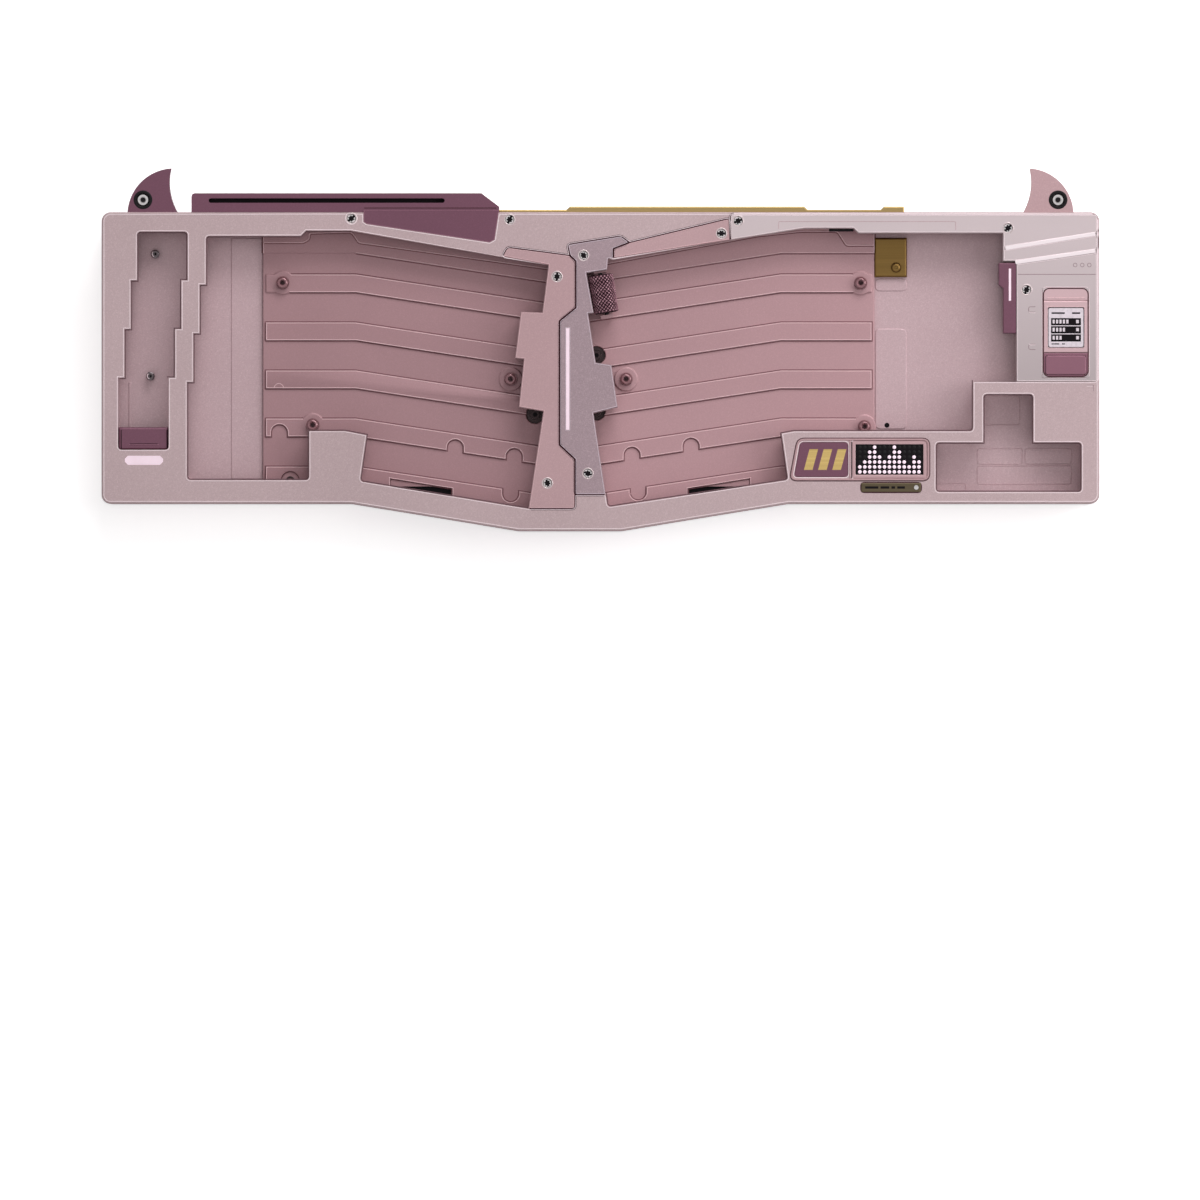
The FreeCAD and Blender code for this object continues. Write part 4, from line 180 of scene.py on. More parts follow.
def brushed(name, tint, roughness=0.3, strength=0.12, contrast=0.06, painted_sheen=None):
    """Brushed metal: long fine streaks across. The last argument is a painted reflection: how bright it is
    at its two ends.
    """
    n = Nodes(name)
    streak = n.noise(3.0, 4.0, 0.7, (2.0, 500.0, 500.0))
    base = n.mix(n.ramp(streak), shade(tint, 1 - contrast), shade(tint, 1 + contrast))
    # Painted reflection: the colour is brighter towards one end and darker towards the other.
    if painted_sheen:
        across = n.placed(n.add("ShaderNodeSeparateXYZ"))["X"]
        ends = [(value,) * 3 + (1.0,) for value in painted_sheen]
        base = n.mix(1.0, base, n.mix(n.ramp(across, low=-0.15, high=0.15), *ends), "MULTIPLY")
    n.feed("Base Color", base)
    n.feed("Roughness", n.ramp(streak, roughness - 0.07, roughness + 0.07))
    n.bump(streak, strength, 0.00003)
    fill(n.shader, Metallic=1.0)


def moulded(name, tint, roughness=0.5, coat=0.0, gloss=0.5):
    """Moulded plastic or rubber with a fine even grain."""
    n = Nodes(name)
    fine = n.noise(900.0)
    n.feed("Base Color", n.mix(n.ramp(fine), shade(tint, 0.96), shade(tint, 1.04)))
    n.feed("Roughness", n.ramp(fine, roughness - 0.05, roughness + 0.06))
    n.bump(fine, 0.1, 0.00005)
    fill(n.shader, Coat_Weight=coat, Coat_Roughness=0.05, Specular_IOR_Level=gloss)


def glowing(name, tint, strength):
    """Diffusing light guide that glows a little, with a faint cloud."""
    n = Nodes(name)
    cloud = n.mix(n.ramp(n.noise(300.0)), shade(tint, 0.97), shade(tint, 1.0))
    n.feed("Base Color", cloud)
    n.feed("Emission Color", cloud)
    fill(n.shader, Emission_Strength=strength, Roughness=0.35)


def clear(name, tint):
    """Thin clear window."""
    n = Nodes(name)
    n.feed("Roughness", n.ramp(n.noise(40.0), 0.02, 0.06))
    fill(n.shader, Base_Color=colour(*tint), Transmission_Weight=1.0, IOR=1.45, Alpha=0.25)


def felt(name, tint):
    """Short dense pile."""
    n = Nodes(name)
    fibre = n.noise(2600.0, 4.0, 0.8)
    n.feed("Base Color", n.mix(n.ramp(fibre), shade(tint, 0.6), shade(tint, 1.35)))
    n.bump(fibre, 0.6, 0.0002)
    fill(n.shader, Roughness=0.95, Sheen_Weight=0.1, Specular_IOR_Level=0.2)


# Name, tint as screen values, roughness, and what else sets a material apart.
painted("shell", (190, 166, 169))
painted("shell_light", (192, 164, 169))
# A lighter copy of the shell paint for the faces turned down: painted light.
painted("shell_under_lit", (200, 180, 183))
painted("bed", (180, 142, 147), 0.5, metallic=0.25, sparkle=0.07)
# A darker copy of the bed paint for the left bed: painted shade.
painted("bed_left", (166, 129, 134), 0.5, metallic=0.25, sparkle=0.07)
# Painted shade and painted highlight for the edges of the beds' ribs.
painted("bed_shade", (116, 78, 84), 0.6, sparkle=0.03)
painted("bed_highlight", (232, 198, 202), 0.35, metallic=0.1, sparkle=0.03)
painted("cover", (187, 149, 153), 0.4, sparkle=0.07)
painted("pink", (186, 152, 156), sparkle=0.1)
painted("mauve", (165, 143, 150), sparkle=0.22)
painted("plum", (112, 70, 88), 0.36, sparkle=0.12)
painted("plum_pad", (150, 102, 120), 0.3, sparkle=0.05)
# Lighter plum: painted highlight on the rear bar's edge and the column button's rear edge and groove line,
# and the colour of the latch notches.
painted("plum_bright", (150, 104, 122), 0.3, sparkle=0.05)
painted("knurl", (150, 108, 120), 0.3, sparkle=0.05)
# The glossy paint is darkened towards the front by painted shade.
painted("glossy", (206, 190, 193), 0.34, metallic=0.2, sparkle=0.02, grain=0.1, coat=0.3, front_shade=0.88)
painted("boss", (128, 86, 92), 0.22, metallic=0.5, sparkle=0.04, coat=0.5)
painted("boss_grey", (84, 72, 76), 0.24, metallic=0.6, sparkle=0.04, coat=0.5)
# Near black brown for the bed's holes: painted shade.
painted("recess", (52, 36, 38), 0.5, sparkle=0.05)
# The next two are bright paints for thin ridges along edges, marks and screws: painted highlights.
painted("edge", (246, 228, 232), 0.3, metallic=0.1, sparkle=0.02, coat=0.3)
painted("mauve_highlight", (214, 198, 208), 0.3, metallic=0.1, sparkle=0.02)
painted("rim", (204, 188, 189), 0.3, sparkle=0.02)
# The next two are bright paints for ridges on edges, rims, marks and screw heads: painted highlights.
painted("bright", (222, 188, 192), 0.3, sparkle=0.03, coat=0.4)
painted("ribbon", (250, 236, 240), 0.18, metallic=0.1, sparkle=0.02, coat=0.6)
painted("mark_fill", (186, 136, 138), 0.4, sparkle=0.03)
painted("display", (205, 172, 177), 0.4, metallic=0.2, sparkle=0.03)
painted("button", (137, 92, 108), 0.34, sparkle=0.04)
painted("shadow", (112, 84, 90), 0.7, sparkle=0.02)
brushed("brass", (164, 141, 96), 0.32, strength=0.04, contrast=0.02)
# Light brass: painted highlight on the bumper's slope.
brushed("brass_highlight", (214, 190, 138), strength=0.03, contrast=0.02)
# The weight plate's paint carries a painted reflection, bright at one end and dark at the other.
brushed("champagne", (176, 166, 150), 0.34, strength=0.05, contrast=0.02, painted_sheen=(1.15, 0.6))
# Light gold: painted highlights on the weight plate's and the bumper's edges.
brushed("gold_highlight", (226, 206, 158), 0.25)
brushed("gold", (196, 168, 108), 0.22)
brushed("bronze", (88, 78, 62), 0.4)
# A darker copy of the brass paint: painted shade.
brushed("brass_shaded", (112, 88, 50), 0.4)
brushed("steel", (190, 186, 186), 0.25)
# Dark paint for grooves and valleys: painted shade.
moulded("groove", (44, 24, 32), 0.6, gloss=0.1)
moulded("rubber", (158, 155, 158), 0.7)
moulded("board", (46, 56, 50))
# Near black; also painted shade in the lip scoops and on the roller's axle.
moulded("dark", (14, 11, 13), gloss=0.15)
moulded("seam", (76, 47, 54), 0.8, gloss=0.1)
moulded("mark", (140, 114, 120))
# Near black; also painted shade where it fills holes, vents and the bed recesses.
moulded("ink", (12, 7, 11), gloss=0.1)
moulded("screen", (226, 214, 222), 0.3, coat=0.5)
glowing("light", (248, 224, 236), 0.22)
glowing("dots", (250, 226, 240), 0.35)
clear("glass", (240, 236, 240))
felt("felt", (18, 11, 14))

# Material of each solid.
FINISH = {
    "shell": "top_case",
    "shell_light": "bottom_case",
    "bed": "key_bed_right roller_bracket",
    # The left bed takes the darker copy of the bed paint, as painted shade.
    "bed_left": "key_bed_left",
    "boss": "standoffs",
    "boss_grey": "column_posts",
    # The bed screws take the recess paint: painted shade in the bed's holes.
    "recess": "bed_screws",
    "cover": "rear_cover",
    "pink": "centre_panel_left wedge_panel horn_right latch_bolt_left latch_bolt_right matrix_frame",
    "display": "display_frame",
    "mauve": "centre_panel_right",
    "plum": "rear_bar horn_left side_bar column_button badge_plate latch_left latch_right",
    "plum_pad": "weight_inlay front_lip",
    "button": "display_button",
    "knurl": "roller",
    "glossy": "side_panel",
    "brass": "rear_bumper",
    # The corner tab takes the darker brass: painted shade.
    "brass_shaded": "corner_tab",
    "champagne": "weight_plate",
    "gold": "badge_inlay",
    "bronze": "bronze_tag",
    "steel": "horn_screws deck_screws corner_screws cover_screws tag_rivet column_spring port",
    "rubber": "feet",
    "board": "display_board matrix_board light_strips port_board",
    # The roller's axle takes the black paint as painted shade.
    "dark": "column_switch roller_axle",
    "light": "centre_light pill_light side_light",
    "dots": "matrix_dots",
    "glass": "display_glass matrix_lens",
    "screen": "display_panel",
    "felt": "felt_strip",
}
# Width of the softened edges, and the solids that have them.
SOFT_EDGES = {
    0.3: "key_bed_left key_bed_right rear_bumper weight_plate",
    0.2: "front_lip display_frame display_button side_bar column_button corner_tab matrix_frame bronze_tag "
         "latch_left latch_right feet",
}


def soften(piece, width, clamp=False):
    """Round the sharp edges by a few tenths of a millimetre, so that they catch the light."""
    weld = piece.modifiers.new("weld", "WELD")
    weld.merge_threshold = 0.000005
    flat = piece.modifiers.new("flat", "DECIMATE")
    flat.decimate_type = "DISSOLVE"
    flat.angle_limit = radians(0.3)
    edge = piece.modifiers.new("edge", "BEVEL")
    edge.width = width * MM
    edge.segments = 2
    edge.limit_method = "ANGLE"
    edge.angle_limit = radians(32)
    edge.use_clamp_overlap = clamp


def dress_nodes():
    """Give every CAD node its material, and a fine edge that catches the light."""
    for finish, names in FINISH.items():
        for name in names.split():
            mesh = nodes[name].data
            mesh.materials.clear()
            mesh.materials.append(MATERIALS[finish])
    # Painted light: faces turned down take a lighter copy of the shell paint.
    mesh = nodes["bottom_case"].data
    mesh.materials.append(MATERIALS["shell_under_lit"])
    for face in mesh.polygons:
        face.material_index = 1 if face.normal.z < -0.3 else 0
    for width, names in SOFT_EDGES.items():
        for name in names.split():
            soften(nodes[name], width)
    bpy.context.view_layer.update()


def cast(place, origin, direction):
    """Height out of a face where a ray first meets the CAD solids."""
    hit, point, normal, index, piece, matrix = bpy.context.scene.ray_cast(SOLIDS, origin, direction)
    axis = place(0, 0, 1) - place(0, 0, 0)
    return (point - place(0, 0, 0)).dot(axis) / axis.length / MM if hit else None


def level(x, y, start=9.0):
    """Height of the first face met from above the deck."""
    return cast(deck, deck(x, y, start), -OUT)


def level_beneath(x, y):
    """Height, out of the underside, of the first face met from the table."""
    return cast(beneath, beneath(x, y, FOOT_STAND), Vector((0, 0, 1)))


def offset(outline, distance, closed=True):
    """Outline moved sideways, to the right of its direction of travel, with mitred corners."""
    count = len(outline)
    moved = []
    for i, (x, y) in enumerate(outline):
        before = outline[i - 1] if closed or i else outline[i]
        after = outline[(i + 1) % count] if closed or i < count - 1 else outline[i]
        first = Vector((x - before[0], y - before[1]))
        second = Vector((after[0] - x, after[1] - y))
        first = first.normalized() if first.length else second.normalized()
        second = second.normalized() if second.length else first
        middle = (first + second).normalized()
        stretch = distance / max(0.35, middle.dot(first))
        moved.append((x + middle.y * stretch, y - middle.x * stretch))
    return moved


def box(left, rear, right, front, radius=0.0, steps=6):
    """Rectangle, or one with round corners, counter-clockwise."""
    if not radius:
        return [(left, rear), (left, front), (right, front), (right, rear)]
    corners = ((left + radius, rear - radius, 90), (left + radius, front + radius, 180),
               (right - radius, front + radius, 270), (right - radius, rear - radius, 0))
    return [point for x, y, start in corners for point in arc(x, y, radius, start, start + 90, steps)]


def arc(x, y, radius, start, end, steps=12):
    """Points along an arc, in degrees."""
    angles = [radians(start + (end - start) * i / steps) for i in range(steps + 1)]
    return [(x + radius * cos(angle), y + radius * sin(angle)) for angle in angles]


def legs(points, i):
    """Corner i of an outline, and the ways from it to the points before and after it."""
    corner = Vector(points[i])
    return corner, Vector(points[i - 1]) - corner, Vector(points[(i + 1) % len(points)]) - corner


def bend(corner, back, ahead, reach, steps):
    """Curve across a corner, from reach before it to reach after it."""
    start, end = corner + back.normalized() * reach, corner + ahead.normalized() * reach
    spans = [step / steps for step in range(steps + 1)]
    return [tuple(start * (1 - t) ** 2 + corner * 2 * t * (1 - t) + end * t ** 2) for t in spans]


def round_off(points, radius, closed=False):
    """Corner points replaced by small arcs, as a fillet does."""
    rounded = []
    for i, point in enumerate(points):
        if not closed and i in (0, len(points) - 1):
            rounded.append(point)
            continue
        corner, back, ahead = legs(points, i)
        rounded += bend(corner, back, ahead, min(radius, back.length * 0.45, ahead.length * 0.45), 5)
    return rounded


def put(name, data):
    """New object in the scene."""
    piece = bpy.data.objects.new(name, data)
    bpy.context.collection.objects.link(piece)
    return piece


class Shape:
    """Mesh built from outlines on one face of the case, in millimetres, Z running out of that face.

    Heights are counted from base.
    """

    def __init__(self, place=deck, base=0.0):
        self.mesh = bmesh.new()
        self.place = place
        self.base = base

    def loop(self, outline, height):
        return [self.mesh.verts.new(self.place(x, y, self.base + height)) for x, y in outline]

    def walls(self, first, second, closed=True):
        count = len(first) if closed else len(first) - 1
        for i in range(count):
            j = (i + 1) % len(first)
            self.mesh.faces.new((first[i], first[j], second[j], second[i]))

    def wrap(self, loops, closed=True):
        """Walls from each loop to the next, and from the last one back to the first."""
        for first, second in zip(loops, loops[1:] + loops[:1]):
            self.walls(first, second, closed)

    def prism(self, outline, low, high, upper=None):
        """Closed block over an outline, with another one at its upper end if that is given."""
        bottom, top = self.loop(outline, low), self.loop(upper or outline, high)
        self.walls(bottom, top)
        self.mesh.faces.new(bottom)
        self.mesh.faces.new(top)

    def ring(self, outer, inner, low, high):
        """Closed frame between two outlines of equally many points."""
        sides = (outer, low), (outer, high), (inner, high), (inner, low)
        self.wrap([self.loop(outline, height) for outline, height in sides])

    def ridge(self, points, width, low, height, closed=False):
        """Raised line with sloping sides along a run of points."""
        sides = ((-0.5, low - 0.05), (-0.2, low + height), (0.2, low + height), (0.5, low - 0.05))
        loops = [self.loop(offset(points, width * side, closed), z) for side, z in sides]
        self.wrap(loops, closed)
        if not closed:
            for end in (0, -1):
                self.mesh.faces.new([loop[end] for loop in loops])

    def turned(self, x, y, face, profile, steps=28, hollow=False):
        """Turned form round an axis: pairs of radius and height over a face."""
        loops = []
        for radius, height in profile:
            rim = arc(x, y, radius, 0, 360 - 360 / steps, steps - 1) if radius else [(x, y)]
            loops.append(self.loop(rim, face + height))
        for first, second in zip(loops, loops[1:] + loops[:1] if hollow else loops[1:]):
            if 1 in (len(first), len(second)):
                pole, rim = sorted((first, second), key=len)
                for i in range(steps):
                    self.mesh.faces.new((pole[0], rim[i], rim[(i + 1) % steps]))
            else:
                self.walls(first, second)

    def disc(self, x, y, radius, low, high):
        """Short round block."""
        self.turned(x, y, 0.0, [(0, low), (radius, low), (radius, high), (0, high)])

    def done(self, name, finish, body="case", edge=0.0, smooth=False, replaces=None):
        """Turn it into a piece that rides on a body, or takes a solid's place."""
        bmesh.ops.recalc_face_normals(self.mesh, faces=self.mesh.faces)
        for face in self.mesh.faces:
            face.smooth = smooth
        mesh = bpy.data.meshes.new(name)
        self.mesh.to_mesh(mesh)
        self.mesh.free()
        mesh.materials.append(MATERIALS[finish])
        piece = put(name, mesh)
        if edge:
            soften(piece, edge, clamp=True)
        if smooth:
            mesh.set_sharp_from_angle(angle=radians(40))
        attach(piece, body)
        if replaces:
            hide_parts(replaces)
        return piece


SOLIDS = bpy.context.evaluated_depsgraph_get()
DECK_SCREWS = [(-98.5, 52.0), (-35.9, 51.6), (-17.2, 29.0), (-21.0, -52.6), (-6.7, 37.4), (-5.0, -48.8),
               (47.8, 46.1), (54.4, 51.0), (161.1, 48.2), (168.4, 23.8)]
STANDOFFS = [(-126.0, 26.9), (-114.1, -29.5), (-35.6, -11.3), (103.1, 26.8), (104.6, -30.1), (10.1, -11.3)]
RECESSES = [(-25.9, -25.3), (-1.6, -1.8), (-1.6, -24.0)]
CAP_SPOT = (-123.0, -51.5)
ROLLER_SPOT = (1.2, 22.3)
BUTTON_SPOT = (-180.5, -36.0)
TAB_SPOT = (117.2, 33.0)
POSTS = [(-176.5, 38.3), (-178.4, -10.1)]
CORNER_SCREWS = [(-193.7, 49.6), (193.7, 49.6), (-193.7, -55.4), (193.7, -55.4)]
COVER_SCREWS = [(-163.9, 18.7), (163.9, 18.7), (-186.8, -9.9), (186.8, -9.9)]
LATCHES = {"release_left": -140.0, "release_right": 140.0}
BED_FLOOR, RIB_TOP = -12.0, -11.2
VENT_FLOOR, VENT_TOP = -13.98, -12.6
TWIN_SUM = -24.2


def twins(*points):
    """An outline over one bed, and its mirror image over the other: their X add up to TWIN_SUM."""
    return list(points), [(TWIN_SUM - x, y) for x, y in points]


def mirrored(x, *points):
    """Run through points at the left of x, and back through their mirror images."""
    return [(x - across, y) for across, y in points] + [(x + across, y) for across, y in points[::-1]]


def face_outlines(name, place, height=None):
    """Edge loops of a solid's faces at one height of a face's axes, its highest one if none is given.

    The solid lies on the left of each loop.
    """
    zero = place(0, 0, 0)
    across, along, out = (place(*step) - zero for step in ((1, 0, 0), (0, 1, 0), (0, 0, 1)))
    mesh = bmesh.new()
    mesh.from_mesh(nodes[name].data)
    mesh.transform(nodes[name].matrix_world)
    bmesh.ops.remove_doubles(mesh, verts=mesh.verts, dist=0.000005)
    bmesh.ops.recalc_face_normals(mesh, faces=mesh.faces)
    heights = [(vert.co - zero).dot(out) / out.length_squared for vert in mesh.verts]
    goal = max(heights) if height is None else height
    turn = 1 if across.cross(along).dot(out) > 0 else -1
    level_verts = {vert.index for vert, value in zip(mesh.verts, heights) if abs(value - goal) < 0.02}
    faces = {face for face in mesh.faces
             if face.normal.dot(out.normalized()) > 0.99 and all(v.index in level_verts for v in face.verts)}
    links = {}
    for edge in mesh.edges:
        inside = [face for face in edge.link_faces if face in faces]
        if len(inside) == 1:
            loop = next(loop for loop in edge.link_loops if loop.face in faces)
            links.setdefault(loop.vert.index, []).append(loop.link_loop_next.vert.index)
    mesh.verts.ensure_lookup_table()
    outlines = []
    while links:
        here = next(iter(links))
        run = []
        while here in links:
            spot = mesh.verts[here].co - zero
            run.append((spot.dot(across) / across.length_squared, spot.dot(along) / along.length_squared))
            following = links[here].pop()
            if not links[here]:
                del links[here]
            here = following
        outlines.append(run[::turn])
    mesh.free()
    return outlines


def girth(outline):
    return sum(dist(a, b) for a, b in zip(outline, outline[1:] + outline[:1]))


def straightened(outline, least=0.25):
    """Outline without the points that stand closer together than a bead can follow."""
    kept = [outline[0]]
    for point in outline[1:]:
        if dist(point, kept[-1]) > least:
            kept.append(point)
    return kept if dist(kept[0], kept[-1]) > least else kept[:-1]


def runs(points, keep):
    """Stretches of a closed outline whose edges pass a test."""
    count = len(points)
    good = [keep(points[i], points[(i + 1) % count]) for i in range(count)]
    if all(good):
        return [points + points[:1]]
    first = good.index(False) + 1
    found, run = [], []
    for i in range(first, first + count):
        if good[i % count]:
            run = run or [points[i % count]]
            run.append(points[(i + 1) % count])
        elif run:
            found.append(run)
            run = []
    return found


def eased(outline, radius=1.6):
    """Outline with round inner corners, and the outlines of the pieces that fill those corners."""
    path, fills = [], []
    for i, point in enumerate(outline):
        corner, back, ahead = legs(outline, i)
        short = min(back.length, ahead.length) < 2.4 * radius
        turn = back.normalized().cross(ahead.normalized())
        if turn < 0.4 or short or dist(point, ROLLER_SPOT) < 13.0:
            path.append(point)
            continue
        curve = bend(corner, back, ahead, radius, 6)
        path += curve
        fills.append([point] + curve)
    return path, fills


def make_corner_fills():
    """Webs that round the inner corners of the deck's openings, down to the floor of each."""
    shape = Shape()
    for outline in face_outlines("top_case", deck, 0.0):
        for corner in eased(outline)[1]:
            tip, middle = Vector(corner[0]), Vector(corner[4])
            inside = middle + (middle - tip).normalized() * 0.4
            shape.prism(corner, min(level(*inside) + 0.1, -0.1), 0.03)
    shape.done("corner_fills", "shell")


def make_seams():
    """Dark joint lines on the deck round the pieces let into it."""
    shape = Shape()
    for name in ("centre_panel_left", "centre_panel_right", "wedge_panel", "side_panel", "bronze_tag"):
        chamfer = 0.0 if name == "bronze_tag" else 0.25
        outline = round_off(max(face_outlines(name, deck), key=girth), 1.2, closed=True)
        inner, outer = offset(outline, chamfer - 0.15), offset(outline, chamfer + 0.62)
        seen = [abs(level(x, y) or 9) < 0.35 for x, y in outer]
        for i in range(len(outline)):
            j = (i + 1) % len(outline)
            if seen[i] and seen[j] and dist(outer[i], outer[j]) > 0.05:
                shape.prism([inner[i], inner[j], outer[j], outer[i]], -0.1, 0.05)
    shape.ridge([(-93.4, 56.15), (-41.2, 56.15)], 0.45, -0.4, 0.1)
    shape.done("panel_seams", "seam")


def make_edge_beads():
    """Painted highlights along the edges of the deck, its openings and the pieces let into it."""
    for name, width, finish in (("top_case", 0.4, "edge"), ("centre_panel_left", 0.26, "bright"),
                                ("centre_panel_right", 0.26, "mauve_highlight"), ("wedge_panel", 0.26, "bright"),
                                ("side_panel", 0.26, "edge"), ("rear_bar", 0.3, "plum_bright")):
        shape = Shape()
        openings = name == "top_case"
        for outline in face_outlines(name, deck, 0.0 if openings else None):
            if girth(outline) > 60.0:
                path = offset(eased(outline)[0], -0.34) if openings else offset(outline, -0.2)
                low = 0.0 if openings else level(*offset(outline, -0.5)[0])
                shape.ridge(straightened(path), width, low, 0.07, closed=True)
        shape.done(name + "_highlights", finish)


def make_rim_shades():
    """Shaded lines along the upper end of the walls of the deck's openings."""
    shape = Shape()

    def deep(first, second):
        middle = ((first[0] + second[0]) / 2, (first[1] + second[1]) / 2)
        if dist(middle, ROLLER_SPOT) < 14.0 or dist(middle, BUTTON_SPOT) < 13.0:
            return False
        return all((level(*spot) or 0.0) < -3.0 for spot in (first, second, middle))

    for outline in face_outlines("top_case", deck, 0.0):
        for run in runs(straightened(offset(eased(outline)[0], 0.75)), deep):
            shape.ridge(offset(run, -0.4, closed=False), 0.4, -0.75, 0.3)
    shape.done("rim_shades", "shadow")


def add_drive(shape, x, y, degrees, radius, slot, low, high):
    """Star socket with a slot across it, turned about its screw. slot gives half its two sides."""
    turn = radians(degrees)
    across, along = cos(turn), sin(turn)
    lobes = []
    for step in range(48):
        angle = tau * step / 48
        reach = radius + 0.2 * cos(angle * 6)
        lobes.append((x + reach * cos(angle + turn), y + reach * sin(angle + turn)))
    shape.prism(lobes, low, high)
    corners = box(-slot[0], slot[1], slot[0], -slot[1])
    turned = [(x + a * across - b * along, y + a * along + b * across) for a, b in corners]
    shape.prism(turned, low, high - 0.005)


def make_screw_faces():
    """Sockets, rims and painted glints of the small deck screws."""
    rims, drives, glints = Shape(), Shape(), Shape()
    rim = [(1.8, -0.2), (1.82, 0.02), (1.95, 0.1), (2.15, 0.1), (2.3, -0.02), (2.3, -0.2)]
    for index, (x, y) in enumerate(DECK_SCREWS):
        rims.turned(x, y, 0.0, rim, hollow=True)
        add_drive(drives, x, y, 40 + 23 * index, 1.08, (1.72, 0.45), -0.3, -0.22)
        # Painted glints on each head, in the bright ribbon paint.
        for start in (100, 285):
            glints.ridge(arc(x, y, 1.5, start, start + 50, 6), 0.4, -0.25, 0.1)
    rims.done("screw_rims", "rim", smooth=True)
    drives.done("screw_drives", "ink")
    glints.done("screw_glints", "ribbon")


def make_horn_collars():
    """Black collars in the horns' counterbores, with the socket in each screw."""
    collars, sockets = Shape(), Shape()
    collar = [(2.5, -2.2), (2.55, -0.4), (2.9, 0.12), (3.5, 0.14), (3.72, 0.02), (3.72, -0.2), (3.0, -0.3),
              (3.0, -2.2)]
    for side in (-1, 1):
        x, y = 180.9 * side, 59.4
        collars.turned(x, y, level(x + 3.4 * side, y), collar, hollow=True)
        head = level(x + 1.9, y)
        sockets.disc(x, y, 1.0, head - 0.1, head + 0.03)
    collars.done("horn_collars", "dark", smooth=True)
    sockets.done("horn_sockets", "dark")


def make_bosses():
    """Rounded collars on the standoffs and posts, painted glints on the posts, and dark rings and discs in
    the bed recesses as painted shade.
    """
    collars, dark_rings, caps, dark_discs, glints, pits, brass = (Shape() for _ in range(7))
    collar = [(0.85, -0.6), (0.85, 0.05), (1.1, 0.42), (1.6, 0.55), (2.1, 0.3), (2.42, -0.25), (2.42, -0.6)]
    for x, y in STANDOFFS:
        collars.turned(x, y, level(x + 1.6, y), collar, hollow=True)
    collars.done("boss_collars", "boss", smooth=True)
    cap = [(0, 0.25), (0.5, 0.28), (0.62, 0.5), (1.1, 0.55), (1.6, 0.25), (1.78, -0.35), (1.78, -1.2),
           (0, -1.2)]
    for x, y in POSTS:
        top = level(x, y)
        caps.turned(x, y, top, cap)
        # Painted glint on each post cap.
        glints.ridge(arc(x, y, 1.15, 130, 250, 8), 0.5, top + 0.5, 0.1)
        pits.disc(x + 0.2, y, 0.5, top + 0.2, top + 0.36)
    caps.done("post_caps", "boss_grey", smooth=True)
    glints.done("post_glints", "edge")
    pits.done("post_pits", "ink")
    # Painted shade: dark rings and discs fill the bed recesses.
    for x, y in RECESSES:
        top = level(x + 2.9, y)
        dark_rings.turned(x, y, top, [(1.9, -0.1), (2.0, 0.35), (3.35, 0.35), (3.5, -0.1)], hollow=True)
        dark_discs.disc(x, y, 1.85, top - 0.1, top + 0.75)
    dark_rings.done("recess_shade_rings", "recess", smooth=True)
    dark_discs.done("recess_shade_discs", "ink", smooth=True)
    # The tab's boss takes the darker brass as painted shade.
    boss = [(0, 0.9), (0.5, 0.95), (0.65, 1.25), (1.2, 1.2), (1.75, 0.8), (2.05, 0), (2.05, -0.1), (0, -0.1)]
    brass.turned(*TAB_SPOT, level(*TAB_SPOT), boss)
    brass.done("tab_boss", "brass_shaded", smooth=True)


def make_rib_edges():
    """Painted highlights and painted shade along the ribs and ledges of both key beds."""
    bright, dark, cap = Shape(), Shape(), Shape()

    def clear_of_bosses(first, second):
        return not any(dist(first, spot) < 6.4 and dist(second, spot) < 6.4
                       for spot in STANDOFFS + RECESSES + [CAP_SPOT])

    for name in ("key_bed_left", "key_bed_right"):
        for outline in face_outlines(name, deck, RIB_TOP):
            for run in runs(outline, clear_of_bosses):
                if girth(run) > 40.0:
                    run = straightened(run)
                    # Painted highlight on the rib's top edge, painted shade on the bed beside it.
                    bright.ridge(offset(run, -0.22, closed=False), 0.36, RIB_TOP, 0.09)
                    dark.ridge(offset(run, 0.3, closed=False), 0.55, BED_FLOOR, 0.1)
    for ledge in ([(-133.4, 42.9), (-117.7, 42.9), (-115.5, 44.2), (-115.5, 46.6), (-98.6, 47.0),
                   (-95.8, 42.9), (-20.0, 32.4)],
                  [(2.8, 34.6), (62.1, 45.5), (78.9, 47.3), (94.0, 47.3), (97.5, 41.8), (108.3, 41.8)]):
        bright.ridge(round_off(ledge, 1.0), 0.45, RIB_TOP, 0.2)
        dark.ridge(round_off(offset(ledge, 0.45, closed=False), 1.0), 0.45, RIB_TOP, 0.08)
    bright.ridge(arc(-127.5, -14.9, 1.9, 0, 180, 10), 0.3, RIB_TOP, 0.08)
    bright.done("rib_highlights", "bed_highlight")
    dark.done("rib_shades", "bed_shade")
    cap.turned(*CAP_SPOT, BED_FLOOR, [(0, -0.7), (3.5, -0.7), (3.5, -0.02), (3.4, 0.02), (0, 0.02)])
    cap.done("recess_cap", "bed")


